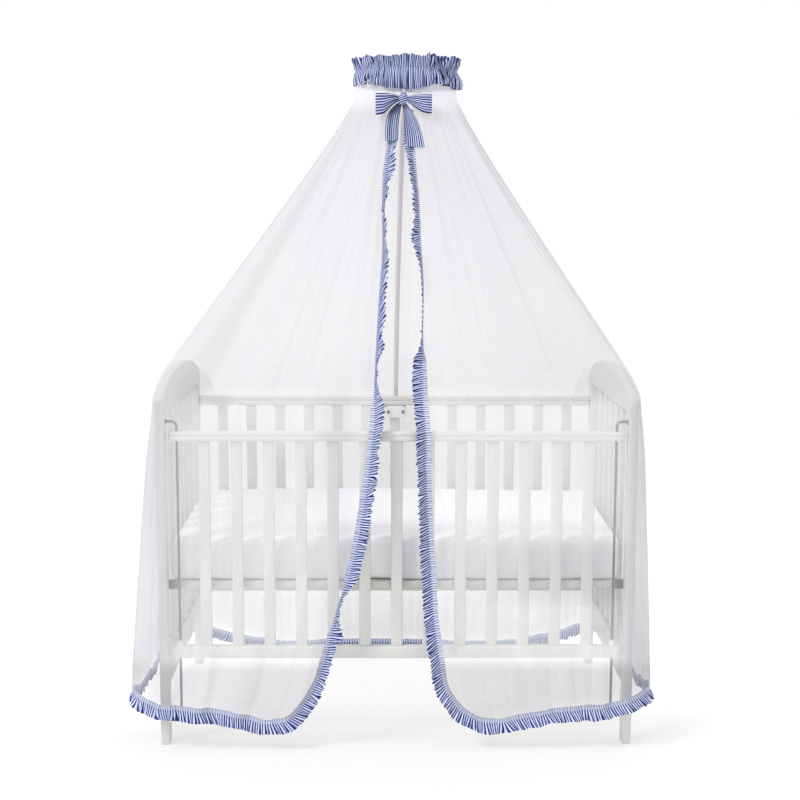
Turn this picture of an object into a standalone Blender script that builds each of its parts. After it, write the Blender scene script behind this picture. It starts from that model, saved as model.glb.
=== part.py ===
"""A mosquito net canopy that hangs from a pole-held ring and falls over a cot.

Metres, +Z up. X runs along the cot, Y from its open front to its back, and the origin lies on
the floor under the middle of the cot.
"""

import math

import bmesh
import bpy
from mathutils import Matrix, Vector

# ---------------------------------------------------------------- driving dimensions
GAP = 0.0003                # between pieces that touch

# cot
INNER_HALF = 0.6195         # half the clear length between the two ends
BOARD = 0.0255              # thickness of the ends' posts and top board
OUTER_HALF = INNER_HALF + BOARD
DEPTH_HALF = 0.367
POST_DEPTH = 0.044
BOARD_FOOT_Z = 0.9153       # underside of the arched top board
ARCH_END_Z = 0.955
ARCH_RISE = 0.058
ARCH_POWER = 2.6
PANEL_Z = (0.160, 0.245)    # lower panel of an end
PANEL_THICK = 0.018
SLAT_WIDE = 0.031
SLAT_THICK = 0.012
END_SLATS = 5
END_PITCH = 0.095
SIDE_SLATS = 13
RAIL_THICK = 0.025
RAIL_Y = 0.3435             # middle of the side rails, front and back
FRONT_RAIL_HALF = 0.6121
FRONT_TOP_Z = (0.840, 0.867)
BACK_TOP_Z = (0.845, 0.874)
LOW_RAIL_Z = (0.241, 0.2755)
FRONT_PITCH = 0.0863
BACK_PITCH = 0.0910
BASE_Z = (0.430, 0.450)
BASE_HALF_Y = 0.3285
MATTRESS_TOP_Z = 0.572
MATTRESS_HALF = (0.6105, 0.318)

# guide rods of the front side
ROD_R = 0.0035
ROD_X = 0.590
ROD_HOOK_Z = 0.893
ROD_FOOT_Z = 0.088
ROD_BEND = 0.013

# pole, ring and clamp
POLE_R = 0.0075
POLE_Y = 0.383
POLE_FOOT_Z = 0.700
RING_X = 0.031
RING_Y = 0.250
RING_HALF = (0.141, 0.133)
RING_TUBE_R = 0.004
RING_CENTRE_Z = 1.866
CLAMP_X = 0.003
CLAMP_HALF = 0.032
CLAMP_Z = (0.806, 0.8445)
BOLT_SPREAD = 0.0235
BOLT_Z = 0.825

# net
SHEET = 0.0015              # the net's thickness
NET_TOP = (0.1505, 0.1418)  # half axes of the net inside the heading
NET_TOP_Z = 1.8695
CONE_TOP_Z = 1.800
NET_OFF = 0.004             # from the cot's outer faces to the middle of the sheet
SHOULDER_R = 0.012
HEM_R = 0.060
RAIL_SHOULDER_Z = 0.871
FRONT_SHOULDER_Y = -(DEPTH_HALF + NET_OFF)
BACK_BULGE = 0.028          # how far the net stands back to clear the pole
BACK_BULGE_WIDE = 0.10
HEM_LEFT_X = -0.716
HEM_RIGHT_X = 0.695
HEM_FRONT_Y = -0.410
HEM_BACK_Y = 0.420
SAG = 0.021
SAG_SHAPE = 0.6
LEFT_EDGE_X = (-0.060, -0.258)   # the front opening's left edge, at the rail and at its corner
RIGHT_EDGE_X = (0.0755, 0.160)
LEFT_EDGE_TURN = 19.0            # degrees round the ring from its front to the opening's edges
RIGHT_EDGE_TURN = 5.7
CONE_ROWS = (0.0, 0.12, 0.27, 0.43, 0.60, 0.77, 0.92, 1.0)
HANG_ROWS = (0.15, 0.32, 0.50, 0.65, 0.78, 0.89, 0.96, 1.0)

# How far an edge of the front opening has swept aside: part of the drop, part of the sweep.
LEFT_SWEEP = ((0.0, 0.0), (0.24, 0.115), (0.49, 0.30), (0.62, 0.47), (0.76, 0.61),
              (0.89, 0.75), (0.96, 0.895), (1.0, 1.0))
RIGHT_SWEEP = ((0.0, 0.0), (0.25, 0.04), (0.53, 0.19), (0.68, 0.28), (0.83, 0.47),
               (0.93, 0.62), (1.0, 1.0))
# Cone part of the opening: part of the way down, x of the left edge, x of the right edge.
OPENING_CONE = ((0.0, -0.018, 0.046), (0.17, -0.026, 0.046), (0.31, -0.040, 0.056),
                (0.49, -0.046, 0.067), (0.63, -0.058, 0.073), (0.78, -0.062, 0.068),
                (0.90, -0.063, 0.068), (1.0, -0.060, 0.0755))

# Height of the net's hem, named by the stretch of the hem that it belongs to:
# place along the stretch in metres, height.
HEM_FRONT_LEFT = ((-0.716, 0.150), (-0.679, 0.134), (-0.639, 0.120), (-0.585, 0.1155),
                  (-0.531, 0.110), (-0.478, 0.105), (-0.424, 0.093), (-0.364, 0.0765),
                  (-0.328, 0.0765), (-0.288, 0.0885), (-0.258, 0.1145))
HEM_FRONT_RIGHT = ((0.160, 0.123), (0.180, 0.104), (0.229, 0.079), (0.280, 0.0764),
                   (0.334, 0.0875), (0.402, 0.104), (0.497, 0.113), (0.605, 0.1287),
                   (0.673, 0.152), (0.695, 0.158))
HEM_LEFT = ((-0.35, 0.150), (-0.25, 0.118), (-0.10, 0.098), (0.10, 0.092), (0.36, 0.108))
HEM_BACK = ((-0.656, 0.106), (-0.550, 0.078), (-0.490, 0.054), (-0.300, 0.046), (0.0, 0.049),
            (0.250, 0.046), (0.415, 0.058), (0.465, 0.080), (0.635, 0.104))
HEM_RIGHT = ((-0.35, 0.158), (-0.22, 0.124), (0.05, 0.096), (0.36, 0.106))

# Main folds: place along the shoulder in metres from the opening's left edge, half width,
# lean from shoulder to hem, depth halfway down the cone, depth at the hem.
FOLDS = (
    (0.060, 0.045, 0.00, 0.003, 0.006), (0.110, 0.040, 0.03, 0.012, 0.005),
    (0.260, 0.050, 0.02, 0.004, 0.011), (0.360, 0.045, 0.02, 0.012, 0.005),
    (0.420, 0.045, 0.00, 0.003, 0.013), (0.530, 0.045, 0.00, 0.010, 0.009),
    (0.660, 0.040, 0.00, 0.004, 0.014), (0.750, 0.040, 0.01, 0.006, 0.010),
    (0.850, 0.045, 0.00, 0.005, 0.016), (0.960, 0.045, -0.01, 0.009, 0.011),
    (1.070, 0.045, 0.00, 0.004, 0.015), (1.190, 0.050, 0.00, 0.008, 0.010),
    (1.400, 0.060, 0.00, 0.006, 0.012), (1.550, 0.060, 0.00, 0.004, 0.015),
    (1.720, 0.065, 0.01, 0.005, 0.011), (1.900, 0.065, 0.00, 0.003, 0.009),
    (2.110, 0.065, 0.00, 0.005, 0.014), (2.280, 0.060, 0.01, 0.004, 0.011),
    (2.440, 0.060, 0.00, 0.006, 0.014), (2.690, 0.050, 0.00, 0.006, 0.010),
    (2.810, 0.045, 0.00, 0.004, 0.015), (2.930, 0.045, 0.01, 0.008, 0.010),
    (3.050, 0.045, 0.00, 0.004, 0.014), (3.170, 0.045, 0.00, 0.006, 0.011),
    (3.280, 0.040, 0.00, 0.003, 0.012), (3.400, 0.045, 0.00, 0.009, 0.006),
    (3.480, 0.045, -0.02, 0.003, 0.013), (3.570, 0.045, 0.01, 0.012, 0.005),
    (3.680, 0.045, -0.03, 0.004, 0.012), (3.810, 0.040, -0.02, 0.012, 0.005),
)

# edge frill
FRILL_IN = 0.014            # part sewn behind the net
FRILL_OUT = 0.028           # part that stands free past the net's edge
FRILL_THICK = 0.002
FRILL_WAVE = 0.005
FRILL_TUCK = 0.0036         # how far the sewn part lies behind the middle of the net
# How far the free part is turned forward, in degrees, by its height.
LEFT_TURN = ((0.30, 0), (0.38, 45), (0.44, 66), (0.50, 50), (0.58, 0), (0.90, 10), (0.98, 68),
             (1.04, 66), (1.15, 45), (1.30, 48), (1.40, 68), (1.50, 66), (1.56, 20), (1.60, 0),
             (1.80, 0))
RIGHT_TURN = ((0.30, 0), (0.95, 0), (1.05, 40), (1.12, 68), (1.28, 66), (1.35, 48), (1.42, 62),
              (1.49, 50), (1.54, 0), (1.80, 0))

# heading: offset of the band from the net inside it and depth of its waves, by height
BAND_THICK = 0.002
GATHER_Z = 1.869
BAND_TOP_Z = 1.906
BAND_ROWS = ((1.0, 0.0125, 0.004), (0.55, 0.0130, 0.003), (0.22, 0.0080, 0.002),
             (0.0, 0.00215, 0.0))
FRILL_ROWS = ((0.35, 0.0070, 0.002), (1.0, 0.0105, 0.004))
BAND_COLUMNS = 84
BAND_WAVES = 21
# Lower edge of the heading: degrees round from its front, height.
BAND_FOOT = ((0, 1.8045), (24, 1.819), (50, 1.815), (90, 1.826), (180, 1.822), (270, 1.826),
             (310, 1.815), (336, 1.818), (360, 1.8045))

# bow
BOW_X = 0.012
KNOT_HALF = (0.012, 0.0085, 0.0185)
LOOP_THICK = 0.002
TAIL_THICK = 0.0015
TAIL_OFF = 0.0035           # middle of the tails in front of the middle of the net
KNOT_Z = 1.769
KNOT_OFF = 0.0147           # middle of the knot in front of the middle of the tails
LOOP_OFF = 0.0175


# ---------------------------------------------------------------- small helpers
def read_table(rows, place, column=1):
    """The table's value at a place, on a smooth curve through its rows."""
    if place <= rows[0][0]:
        return rows[0][column]
    for k in range(len(rows) - 1):
        a, b = rows[k], rows[k + 1]
        if place <= b[0]:
            before = rows[max(k - 1, 0)]
            after = rows[min(k + 2, len(rows) - 1)]
            span = b[0] - a[0]
            part = (place - a[0]) / span
            slope_a = (b[column] - before[column]) / (b[0] - before[0]) * span
            slope_b = (after[column] - a[column]) / (after[0] - a[0]) * span
            return ((2 * part**3 - 3 * part**2 + 1) * a[column]
                    + (part**3 - 2 * part**2 + part) * slope_a
                    + (3 * part**2 - 2 * part**3) * b[column]
                    + (part**3 - part**2) * slope_b)
    return rows[-1][column]


def smooth(value):
    part = min(max(value, 0.0), 1.0)
    return part * part * (3 - 2 * part)


def blend(a, b, part):
    return a + (b - a) * part


def spread(first, last, count):
    """Count evenly spaced numbers after the first, ending on the last."""
    return [blend(first, last, (k + 1) / count) for k in range(count)]


def arch_z(y):
    """Top edge of a cot end."""
    return ARCH_END_Z + ARCH_RISE * (1 - (min(abs(y), DEPTH_HALF) / DEPTH_HALF) ** ARCH_POWER)


def clear_scene():
    for item in list(bpy.data.objects):
        bpy.data.objects.remove(item, do_unlink=True)


def new_collection(name):
    made = bpy.data.collections.new(name)
    bpy.context.scene.collection.children.link(made)
    return made


def new_material(name, colour, roughness, metallic=0.0):
    material = bpy.data.materials.new(name)
    material.use_nodes = True
    shader = material.node_tree.nodes["Principled BSDF"]
    shader.inputs["Base Color"].default_value = (*colour, 1.0)
    shader.inputs["Roughness"].default_value = roughness
    shader.inputs["Metallic"].default_value = metallic
    return material


clear_scene()
PARTS = new_collection("mosquito_net_canopy")
CUTTERS = new_collection("cutters")
PAINT = new_material("white_paint", (0.80, 0.79, 0.75), 0.45)
BEDDING = new_material("white_sheet", (0.86, 0.86, 0.88), 0.9)
MESH_CLOTH = new_material("net_cloth", (0.90, 0.90, 0.94), 0.8)
STRIPE_CLOTH = new_material("striped_cotton", (0.16, 0.20, 0.52), 0.85)
STEEL = new_material("dark_steel", (0.16, 0.16, 0.17), 0.35, 1.0)
ENAMEL = new_material("white_enamel", (0.84, 0.84, 0.84), 0.35)


def add_object(name, data, material, collection=None):
    item = bpy.data.objects.new(name, data)
    (collection or PARTS).objects.link(item)
    if material:
        data.materials.append(material)
    return item


def add_bevel(item, width, segments=1):
    modifier = item.modifiers.new("rounded edges", "BEVEL")
    modifier.width = width
    modifier.segments = segments
    modifier.limit_method = "ANGLE"


def add_boolean(item, other, operation):
    modifier = item.modifiers.new(operation.lower(), "BOOLEAN")
    modifier.operation = operation
    modifier.object = other


def hide_cutter(item):
    item.hide_render = True
    item.display_type = "WIRE"


def box(name, low, high, material, bevel=0.0, segments=1, collection=None):
    """A box from its lowest to its highest corner."""
    mesh = bpy.data.meshes.new(name)
    shape = bmesh.new()
    bmesh.ops.create_cube(shape, size=1.0)
    size = [high[k] - low[k] for k in range(3)]
    bmesh.ops.scale(shape, vec=size, verts=shape.verts)
    shape.to_mesh(mesh)
    shape.free()
    item = add_object(name, mesh, material, collection)
    item.location = [(low[k] + high[k]) / 2 for k in range(3)]
    if bevel:
        add_bevel(item, bevel, segments)
    return item


def peg(name, radius, foot, top, turn, material=None, sides=12, collection=None):
    """A cylinder from foot to top; turn is its axis: X, Y or Z."""
    mesh = bpy.data.meshes.new(name)
    shape = bmesh.new()
    length = (Vector(top) - Vector(foot)).length
    bmesh.ops.create_cone(shape, cap_ends=True, segments=sides, radius1=radius,
                          radius2=radius, depth=length)
    if turn != "Z":
        axis = "Y" if turn == "X" else "X"
        bmesh.ops.rotate(shape, verts=shape.verts, matrix=Matrix.Rotation(math.pi / 2, 3, axis))
    shape.to_mesh(mesh)
    shape.free()
    item = add_object(name, mesh, material, collection)
    item.location = (Vector(foot) + Vector(top)) / 2
    return item


def tube(name, points, radius, material, resolution=2):
    """A round bar along the points, with capped ends."""
    curve = bpy.data.curves.new(name, "CURVE")
    curve.dimensions = "3D"
    curve.bevel_depth = radius
    curve.bevel_resolution = resolution
    curve.use_fill_caps = True
    line = curve.splines.new("POLY")
    line.points.add(len(points) - 1)
    for point, place in zip(line.points, points):
        point.co = (*place, 1.0)
    item = add_object(name, curve, material)
    return item


def board(name, outline, thick, material):
    """A flat board: its outline lies in Y and Z, its thickness along X, as a welded mesh."""
    curve = bpy.data.curves.new(name, "CURVE")
    curve.dimensions = "2D"
    curve.fill_mode = "BOTH"
    curve.extrude = thick / 2
    line = curve.splines.new("POLY")
    line.points.add(len(outline) - 1)
    line.use_cyclic_u = True
    for point, (y, z) in zip(line.points, outline):
        point.co = (y, z, 0.0, 1.0)
    drawn = add_object(name + "_outline", curve, None)
    bpy.context.view_layer.update()
    mesh = bpy.data.meshes.new_from_object(
        drawn.evaluated_get(bpy.context.evaluated_depsgraph_get()))
    bpy.data.objects.remove(drawn)
    shape = bmesh.new()
    shape.from_mesh(mesh)
    bmesh.ops.remove_doubles(shape, verts=shape.verts, dist=0.00001)
    bmesh.ops.dissolve_limit(shape, angle_limit=0.001, verts=shape.verts, edges=shape.edges)
    # outline's x, y and thickness become Y, Z and X
    bmesh.ops.transform(shape, verts=shape.verts,
                        matrix=Matrix(((0, 0, 1, 0), (1, 0, 0, 0), (0, 1, 0, 0), (0, 0, 0, 1))))
    bmesh.ops.recalc_face_normals(shape, faces=shape.faces)
    shape.to_mesh(mesh)
    shape.free()
    return add_object(name, mesh, material)


def sheet_from_grid(name, grid, thick, material, closed=False):
    """A thin solid round a grid of points: rows of columns, its outer side to the left of u."""
    mesh = bpy.data.meshes.new(name)
    wide = len(grid[0])
    faces = []
    for r in range(len(grid) - 1):
        for c in range(wide if closed else wide - 1):
            d = (c + 1) % wide
            faces.append((r * wide + c, r * wide + d, (r + 1) * wide + d, (r + 1) * wide + c))
    mesh.from_pydata([tuple(p) for row in grid for p in row], [], faces)
    mesh.shade_smooth()
    item = add_object(name, mesh, material)
    modifier = item.modifiers.new("thickness", "SOLIDIFY")
    modifier.thickness = thick
    modifier.offset = 0.0
    modifier.use_even_offset = True
    return item


# ---------------------------------------------------------------- cot
def build_end(side, name):
    """One end of the cot: two posts, and between them the arched board, slats and panel."""
    inner, outer = sorted((side * INNER_HALF, side * OUTER_HALF))
    middle = side * (INNER_HALF + BOARD / 2)
    for word, y in (("front", -DEPTH_HALF), ("back", DEPTH_HALF - POST_DEPTH)):
        box(f"post_{name}_{word}", (inner, y, 0.0),
            (outer, y + POST_DEPTH, BOARD_FOOT_Z - GAP), PAINT, bevel=0.005)
    steps = 20
    top = [-DEPTH_HALF + 2 * DEPTH_HALF * k / steps for k in range(steps + 1)]
    outline = [(y, arch_z(y)) for y in top]
    outline += [(DEPTH_HALF, BOARD_FOOT_Z), (-DEPTH_HALF, BOARD_FOOT_Z)]
    end = board(f"end_panel_{name}", outline, BOARD, PAINT)
    end.location.x = middle
    add_bevel(end, 0.005)
    reach = DEPTH_HALF - POST_DEPTH - GAP
    joined = [box(f"{name}_low_panel", (middle - PANEL_THICK / 2, -reach, PANEL_Z[0]),
                  (middle + PANEL_THICK / 2, reach, PANEL_Z[1]), None, collection=CUTTERS)]
    tenon = 0.006
    for k in range(END_SLATS):
        y = (k - (END_SLATS - 1) / 2) * END_PITCH
        joined.append(box(f"{name}_slat_{k}",
                          (middle - SLAT_THICK / 2, y - SLAT_WIDE / 2, PANEL_Z[1] - tenon),
                          (middle + SLAT_THICK / 2, y + SLAT_WIDE / 2, BOARD_FOOT_Z + tenon),
                          None, collection=CUTTERS))
    for piece in joined[1:] + joined[:1]:
        hide_cutter(piece)
        add_boolean(end, piece, "UNION")


def build_side(word, side, half, top_z, pitch):
    """Front or back of the cot: a top rail, a bottom rail and the slats between them."""
    y = side * RAIL_Y
    rails = []
    for level, (low, high) in (("top", top_z), ("bottom", LOW_RAIL_Z)):
        rails.append(box(f"{word}_{level}_rail", (-half, y - RAIL_THICK / 2, low),
                         (half, y + RAIL_THICK / 2, high), PAINT, bevel=0.005))
    for k in range(SIDE_SLATS):
        x = (k - (SIDE_SLATS - 1) / 2) * pitch
        box(f"{word}_slat_{k + 1:02d}",
            (x - SLAT_WIDE / 2, y - SLAT_THICK / 2, LOW_RAIL_Z[1] + GAP),
            (x + SLAT_WIDE / 2, y + SLAT_THICK / 2, top_z[0] - GAP), PAINT)
    return rails


def build_rods(rails):
    """The bent steel rods on which the front side is guided, through holes in its rails."""
    for side, name in ((-1, "left"), (1, "right")):
        y = -RAIL_Y
        route = []
        for z, way in ((ROD_HOOK_Z, -1), (ROD_FOOT_Z, 1)):
            bend = []
            for k in range(5):
                angle = math.radians(90 * k / 4)
                bend.append((side * (ROD_X + ROD_BEND * (1 - math.sin(angle))), y,
                             z + way * ROD_BEND * (1 - math.cos(angle))))
            run = [(side * (INNER_HALF - GAP), y, z)] + bend
            route += run if way < 0 else run[::-1]
        tube(f"guide_rod_{name}", route, ROD_R, STEEL)
        hole = peg(f"{name}_rod_hole", ROD_R + 2 * GAP, (side * ROD_X, y, 0.20),
                   (side * ROD_X, y, 0.90), "Z", collection=CUTTERS)
        hide_cutter(hole)
        for rail in rails:
            add_boolean(rail, hole, "DIFFERENCE")


def build_cot():
    build_end(-1, "left")
    build_end(1, "right")
    front = build_side("front", -1, FRONT_RAIL_HALF, FRONT_TOP_Z, FRONT_PITCH)
    build_side("back", 1, INNER_HALF - GAP, BACK_TOP_Z, BACK_PITCH)
    build_rods(front)
    box("mattress_base", (-INNER_HALF + GAP, -BASE_HALF_Y, BASE_Z[0]),
        (INNER_HALF - GAP, BASE_HALF_Y, BASE_Z[1]), PAINT)
    half_x, half_y = MATTRESS_HALF
    mattress = box("mattress", (-half_x, -half_y, BASE_Z[1] + GAP),
                   (half_x, half_y, MATTRESS_TOP_Z), BEDDING, bevel=0.022, segments=3)
    mattress.data.shade_smooth()


# ---------------------------------------------------------------- pole, ring and clamp
POLE_ROUTE = ((POLE_FOOT_Z, 0.003), (0.90, 0.003), (1.10, 0.0055), (1.25, 0.009),
              (1.45, 0.0145), (1.65, 0.021), (1.8617, 0.0285))


def build_pole():
    tube("canopy_pole", [(x, POLE_Y, z) for z, x in POLE_ROUTE], POLE_R, ENAMEL, resolution=3)
    bpy.ops.mesh.primitive_torus_add(major_segments=40, minor_segments=8,
                                     major_radius=RING_HALF[0], minor_radius=RING_TUBE_R)
    ring = bpy.context.object
    ring.name = "holder_ring"
    ring.data.name = "holder_ring"
    for vertex in ring.data.vertices:
        flat = math.hypot(vertex.co.x, vertex.co.y)
        vertex.co.y *= (RING_HALF[1] + flat - RING_HALF[0]) / flat
    ring.location = (RING_X, RING_Y, RING_CENTRE_Z)
    ring.data.materials.append(ENAMEL)
    ring.data.shade_smooth()
    for holder in list(ring.users_collection):
        holder.objects.unlink(ring)
    PARTS.objects.link(ring)


def build_clamp():
    """A plate before the middle slat, a block behind it that holds the pole, two bolts."""
    slat_front = RAIL_Y - SLAT_THICK / 2
    slat_back = RAIL_Y + SLAT_THICK / 2
    plate_thick = 0.008
    plate_front = slat_front - GAP - plate_thick
    block_back = POLE_Y + POLE_R + 0.0035
    left, right = CLAMP_X - CLAMP_HALF, CLAMP_X + CLAMP_HALF
    plate = box("clamp_plate", (left, plate_front, CLAMP_Z[0]),
                (right, slat_front - GAP, CLAMP_Z[1]), ENAMEL, bevel=0.002)
    block = box("clamp_block", (left, slat_back + GAP, CLAMP_Z[0]),
                (right, block_back, CLAMP_Z[1]), ENAMEL, bevel=0.002)
    bore = peg("pole_bore", POLE_R + 2 * GAP, (CLAMP_X, POLE_Y, 0.78),
               (CLAMP_X, POLE_Y, 0.87), "Z", sides=24, collection=CUTTERS)
    hide_cutter(bore)
    add_boolean(block, bore, "DIFFERENCE")
    shank_r, head_r, head_long = 0.0035, 0.0055, 0.004
    for word, sign in (("left", -1), ("right", 1)):
        x = CLAMP_X + sign * BOLT_SPREAD
        shank_end = slat_back + 0.010
        head_back = plate_front - GAP
        hole = peg(f"{word}_bolt_hole", shank_r + GAP, (x, 0.30, BOLT_Z),
                   (x, shank_end + GAP, BOLT_Z), "Y", collection=CUTTERS)
        hide_cutter(hole)
        add_boolean(plate, hole, "DIFFERENCE")
        add_boolean(block, hole, "DIFFERENCE")
        # half outline of the bolt, turned round its own axis: head first, then shank
        profile = ((0.0, head_back - head_long), (head_r, head_back - head_long),
                   (head_r, head_back), (shank_r, head_back), (shank_r, shank_end),
                   (0.0, shank_end))
        mesh = bpy.data.meshes.new(f"clamp_bolt_{word}")
        steps = [(k, k + 1) for k in range(len(profile) - 1)]
        mesh.from_pydata([(r, 0.0, -y) for r, y in profile], steps, [])
        bolt = add_object(f"clamp_bolt_{word}", mesh, STEEL)
        turned = bolt.modifiers.new("turned", "SCREW")
        turned.axis = "Z"
        turned.steps = turned.render_steps = 12
        turned.use_merge_vertices = True
        turned.merge_threshold = 0.0001
        bolt.rotation_euler.x = math.pi / 2
        bolt.location = (x, 0.0, BOLT_Z)


# ---------------------------------------------------------------- net
def front_shoulder_z(x):
    """The net lies on the front or back rail, and climbs onto the posts at its ends."""
    post = arch_z(DEPTH_HALF) + NET_OFF
    return blend(RAIL_SHOULDER_Z, post, smooth((abs(x) - 0.555) / 0.050))


def corner_arc(centre, radius, start, stop, steps):
    """Points and outward directions of a rounded corner, angles in degrees from +X."""
    found = []
    for k in range(steps + 1):
        angle = math.radians(blend(start, stop, k / steps))
        out = Vector((math.cos(angle), math.sin(angle)))
        found.append((Vector(centre) + out * radius, out))
    return found


def net_columns():
    """The net's columns, from the front opening round by the left, the back and the right:
    place along the shoulder, shoulder point, hem point, outward direction, sweep table."""
    side_x = OUTER_HALF + NET_OFF
    arc_x, arc_y = side_x - SHOULDER_R, DEPTH_HALF + NET_OFF - SHOULDER_R
    hem_left, hem_right = HEM_LEFT_X + HEM_R, HEM_RIGHT_X - HEM_R
    hem_front, hem_back = HEM_FRONT_Y + HEM_R, HEM_BACK_Y - HEM_R
    columns = []

    def add(shoulder, hem, out, sweep=None):
        columns.append({"shoulder": Vector(shoulder), "hem": Vector(hem),
                        "out": Vector((out[0], out[1], 0.0)), "sweep": sweep})

    # front, left of the opening
    last = -arc_x
    xs = [LEFT_EDGE_X[0]] + spread(LEFT_EDGE_X[0], -0.555, 14) + [-0.582, -0.608]
    for x in xs:
        part = (x - LEFT_EDGE_X[0]) / (last - LEFT_EDGE_X[0])
        hem_x = blend(LEFT_EDGE_X[1], hem_left, part)
        add((x, FRONT_SHOULDER_Y, front_shoulder_z(x)),
            (hem_x, HEM_FRONT_Y, read_table(HEM_FRONT_LEFT, hem_x)), (0, -1), LEFT_SWEEP)
    # corner by the front left post
    top = corner_arc((-arc_x, -arc_y), SHOULDER_R, 270, 180, 3)
    low = corner_arc((hem_left, hem_front), HEM_R, 270, 180, 3)
    for (upper, out), (lower, _) in zip(top, low):
        add((*upper, arch_z(upper.y) + NET_OFF),
            (*lower, read_table(HEM_FRONT_LEFT, lower.x)), out)
    # left end
    for y in spread(-arc_y, arc_y, 18)[:-1]:
        hem_y = blend(hem_front, hem_back, (y + arc_y) / (2 * arc_y))
        add((-side_x, y, arch_z(y) + NET_OFF), (HEM_LEFT_X, hem_y, read_table(HEM_LEFT, hem_y)),
            (-1, 0))
    top = corner_arc((-arc_x, arc_y), SHOULDER_R, 180, 90, 3)
    low = corner_arc((hem_left, hem_back), HEM_R, 180, 90, 3)
    for (upper, out), (lower, _) in zip(top, low):
        add((*upper, arch_z(upper.y) + NET_OFF), (*lower, read_table(HEM_BACK, lower.x)), out)
    # back
    xs = [-0.608, -0.582] + [-0.555] + spread(-0.555, 0.555, 20) + [0.582, 0.608]
    for x in xs:
        part = (x + arc_x) / (2 * arc_x)
        hem_x = blend(hem_left, hem_right, part)
        bulge = BACK_BULGE * math.exp(-((x - POLE_ROUTE[0][1]) / BACK_BULGE_WIDE) ** 2)
        add((x, -FRONT_SHOULDER_Y + bulge, front_shoulder_z(x)),
            (hem_x, HEM_BACK_Y, read_table(HEM_BACK, hem_x)), (0, 1))
    top = corner_arc((arc_x, arc_y), SHOULDER_R, 90, 0, 3)
    low = corner_arc((hem_right, hem_back), HEM_R, 90, 0, 3)
    for (upper, out), (lower, _) in zip(top, low):
        add((*upper, arch_z(upper.y) + NET_OFF), (*lower, read_table(HEM_BACK, lower.x)), out)
    # right end
    for y in spread(arc_y, -arc_y, 18)[:-1]:
        hem_y = blend(hem_back, hem_front, (arc_y - y) / (2 * arc_y))
        add((side_x, y, arch_z(y) + NET_OFF), (HEM_RIGHT_X, hem_y, read_table(HEM_RIGHT, hem_y)),
            (1, 0))
    top = corner_arc((arc_x, -arc_y), SHOULDER_R, 360, 270, 3)
    low = corner_arc((hem_right, hem_front), HEM_R, 360, 270, 3)
    for (upper, out), (lower, _) in zip(top, low):
        add((*upper, arch_z(upper.y) + NET_OFF),
            (*lower, read_table(HEM_FRONT_RIGHT, lower.x)), out)
    # front, right of the opening
    xs = [0.608, 0.582, 0.555] + spread(0.555, RIGHT_EDGE_X[0], 14)
    for x in xs:
        part = (x - RIGHT_EDGE_X[0]) / (arc_x - RIGHT_EDGE_X[0])
        hem_x = blend(RIGHT_EDGE_X[1], hem_right, part)
        add((x, FRONT_SHOULDER_Y, front_shoulder_z(x)),
            (hem_x, HEM_FRONT_Y, read_table(HEM_FRONT_RIGHT, hem_x)), (0, -1), RIGHT_SWEEP)

    along = 0.0
    for before, column in zip([columns[0]] + columns, columns):
        step = column["shoulder"] - before["shoulder"]
        along += math.hypot(step.x, step.y)
        column["along"] = along
    return columns


def fold_depth(along, drop, row):
    """How far the folds push the net out: row 3 of the table on the cone, 4 on the hang."""
    total = 0.0
    for fold in FOLDS:
        place = fold[0] + (fold[2] * drop if row == 4 else 0.0)
        total += fold[row] * math.exp(-((along - place) / fold[1]) ** 2)
    return total


def ring_point(turn, half, z):
    """A point of an upright oval tube round the ring; turn is in degrees from the front,
    growing to the left."""
    angle = math.radians(turn)
    return Vector((RING_X - half[0] * math.sin(angle), RING_Y - half[1] * math.cos(angle), z))


def net_grid():
    """Rows of points from the net's top edge down to its hem."""
    columns = net_columns()
    whole = columns[-1]["along"]
    first, last = LEFT_EDGE_TURN, 360 - RIGHT_EDGE_TURN
    for column in columns:
        column["turn"] = blend(first, last, column["along"] / whole)
    grid = [[ring_point(c["turn"], NET_TOP, NET_TOP_Z) for c in columns]]
    for part in CONE_ROWS:
        row = []
        for c in columns:
            start = ring_point(c["turn"], NET_TOP, CONE_TOP_Z)
            angle = math.radians(c["turn"])
            radial = Vector((-math.sin(angle), -math.cos(angle), 0.0))
            out = radial.lerp(c["out"], part).normalized()
            # the net hangs straight down behind the pole and sags elsewhere
            sag = SAG * smooth((abs(180 - c["turn"]) - 25) / 55)
            inward = sag * math.sin(math.pi * part**SAG_SHAPE)
            folds = fold_depth(c["along"], 0.0, 3) * math.sin(math.pi * part)
            point = start.lerp(c["shoulder"], part) + out * (folds - inward)
            # the opening's two edges follow their own line; nearby columns ease into it
            for edge, column, place in ((c["along"], 1, 0.0), (whole - c["along"], 2, 1.0)):
                near = 1 - smooth(edge / 0.25)
                straight = start.lerp(c["shoulder"], part).x
                if edge < 0.25:
                    ends = columns[0] if column == 1 else columns[-1]
                    line = ring_point(ends["turn"], NET_TOP, CONE_TOP_Z).lerp(
                        ends["shoulder"], part).x
                    point.x += near * (read_table(OPENING_CONE, part, column) - line)
            row.append(point)
        grid.append(row)
    for drop in HANG_ROWS:
        row = []
        for c in columns:
            flare = drop * (1.35 - 0.35 * drop)
            point = c["shoulder"].lerp(c["hem"], flare)
            point.z = blend(c["shoulder"].z, c["hem"].z, drop)
            if c["sweep"]:
                point.x = blend(c["shoulder"].x, c["hem"].x, read_table(c["sweep"], drop))
            depth = fold_depth(c["along"], drop, 4) * smooth(drop / 0.8)
            row.append(point + c["out"] * depth)
        grid.append(row)
    return grid


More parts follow.
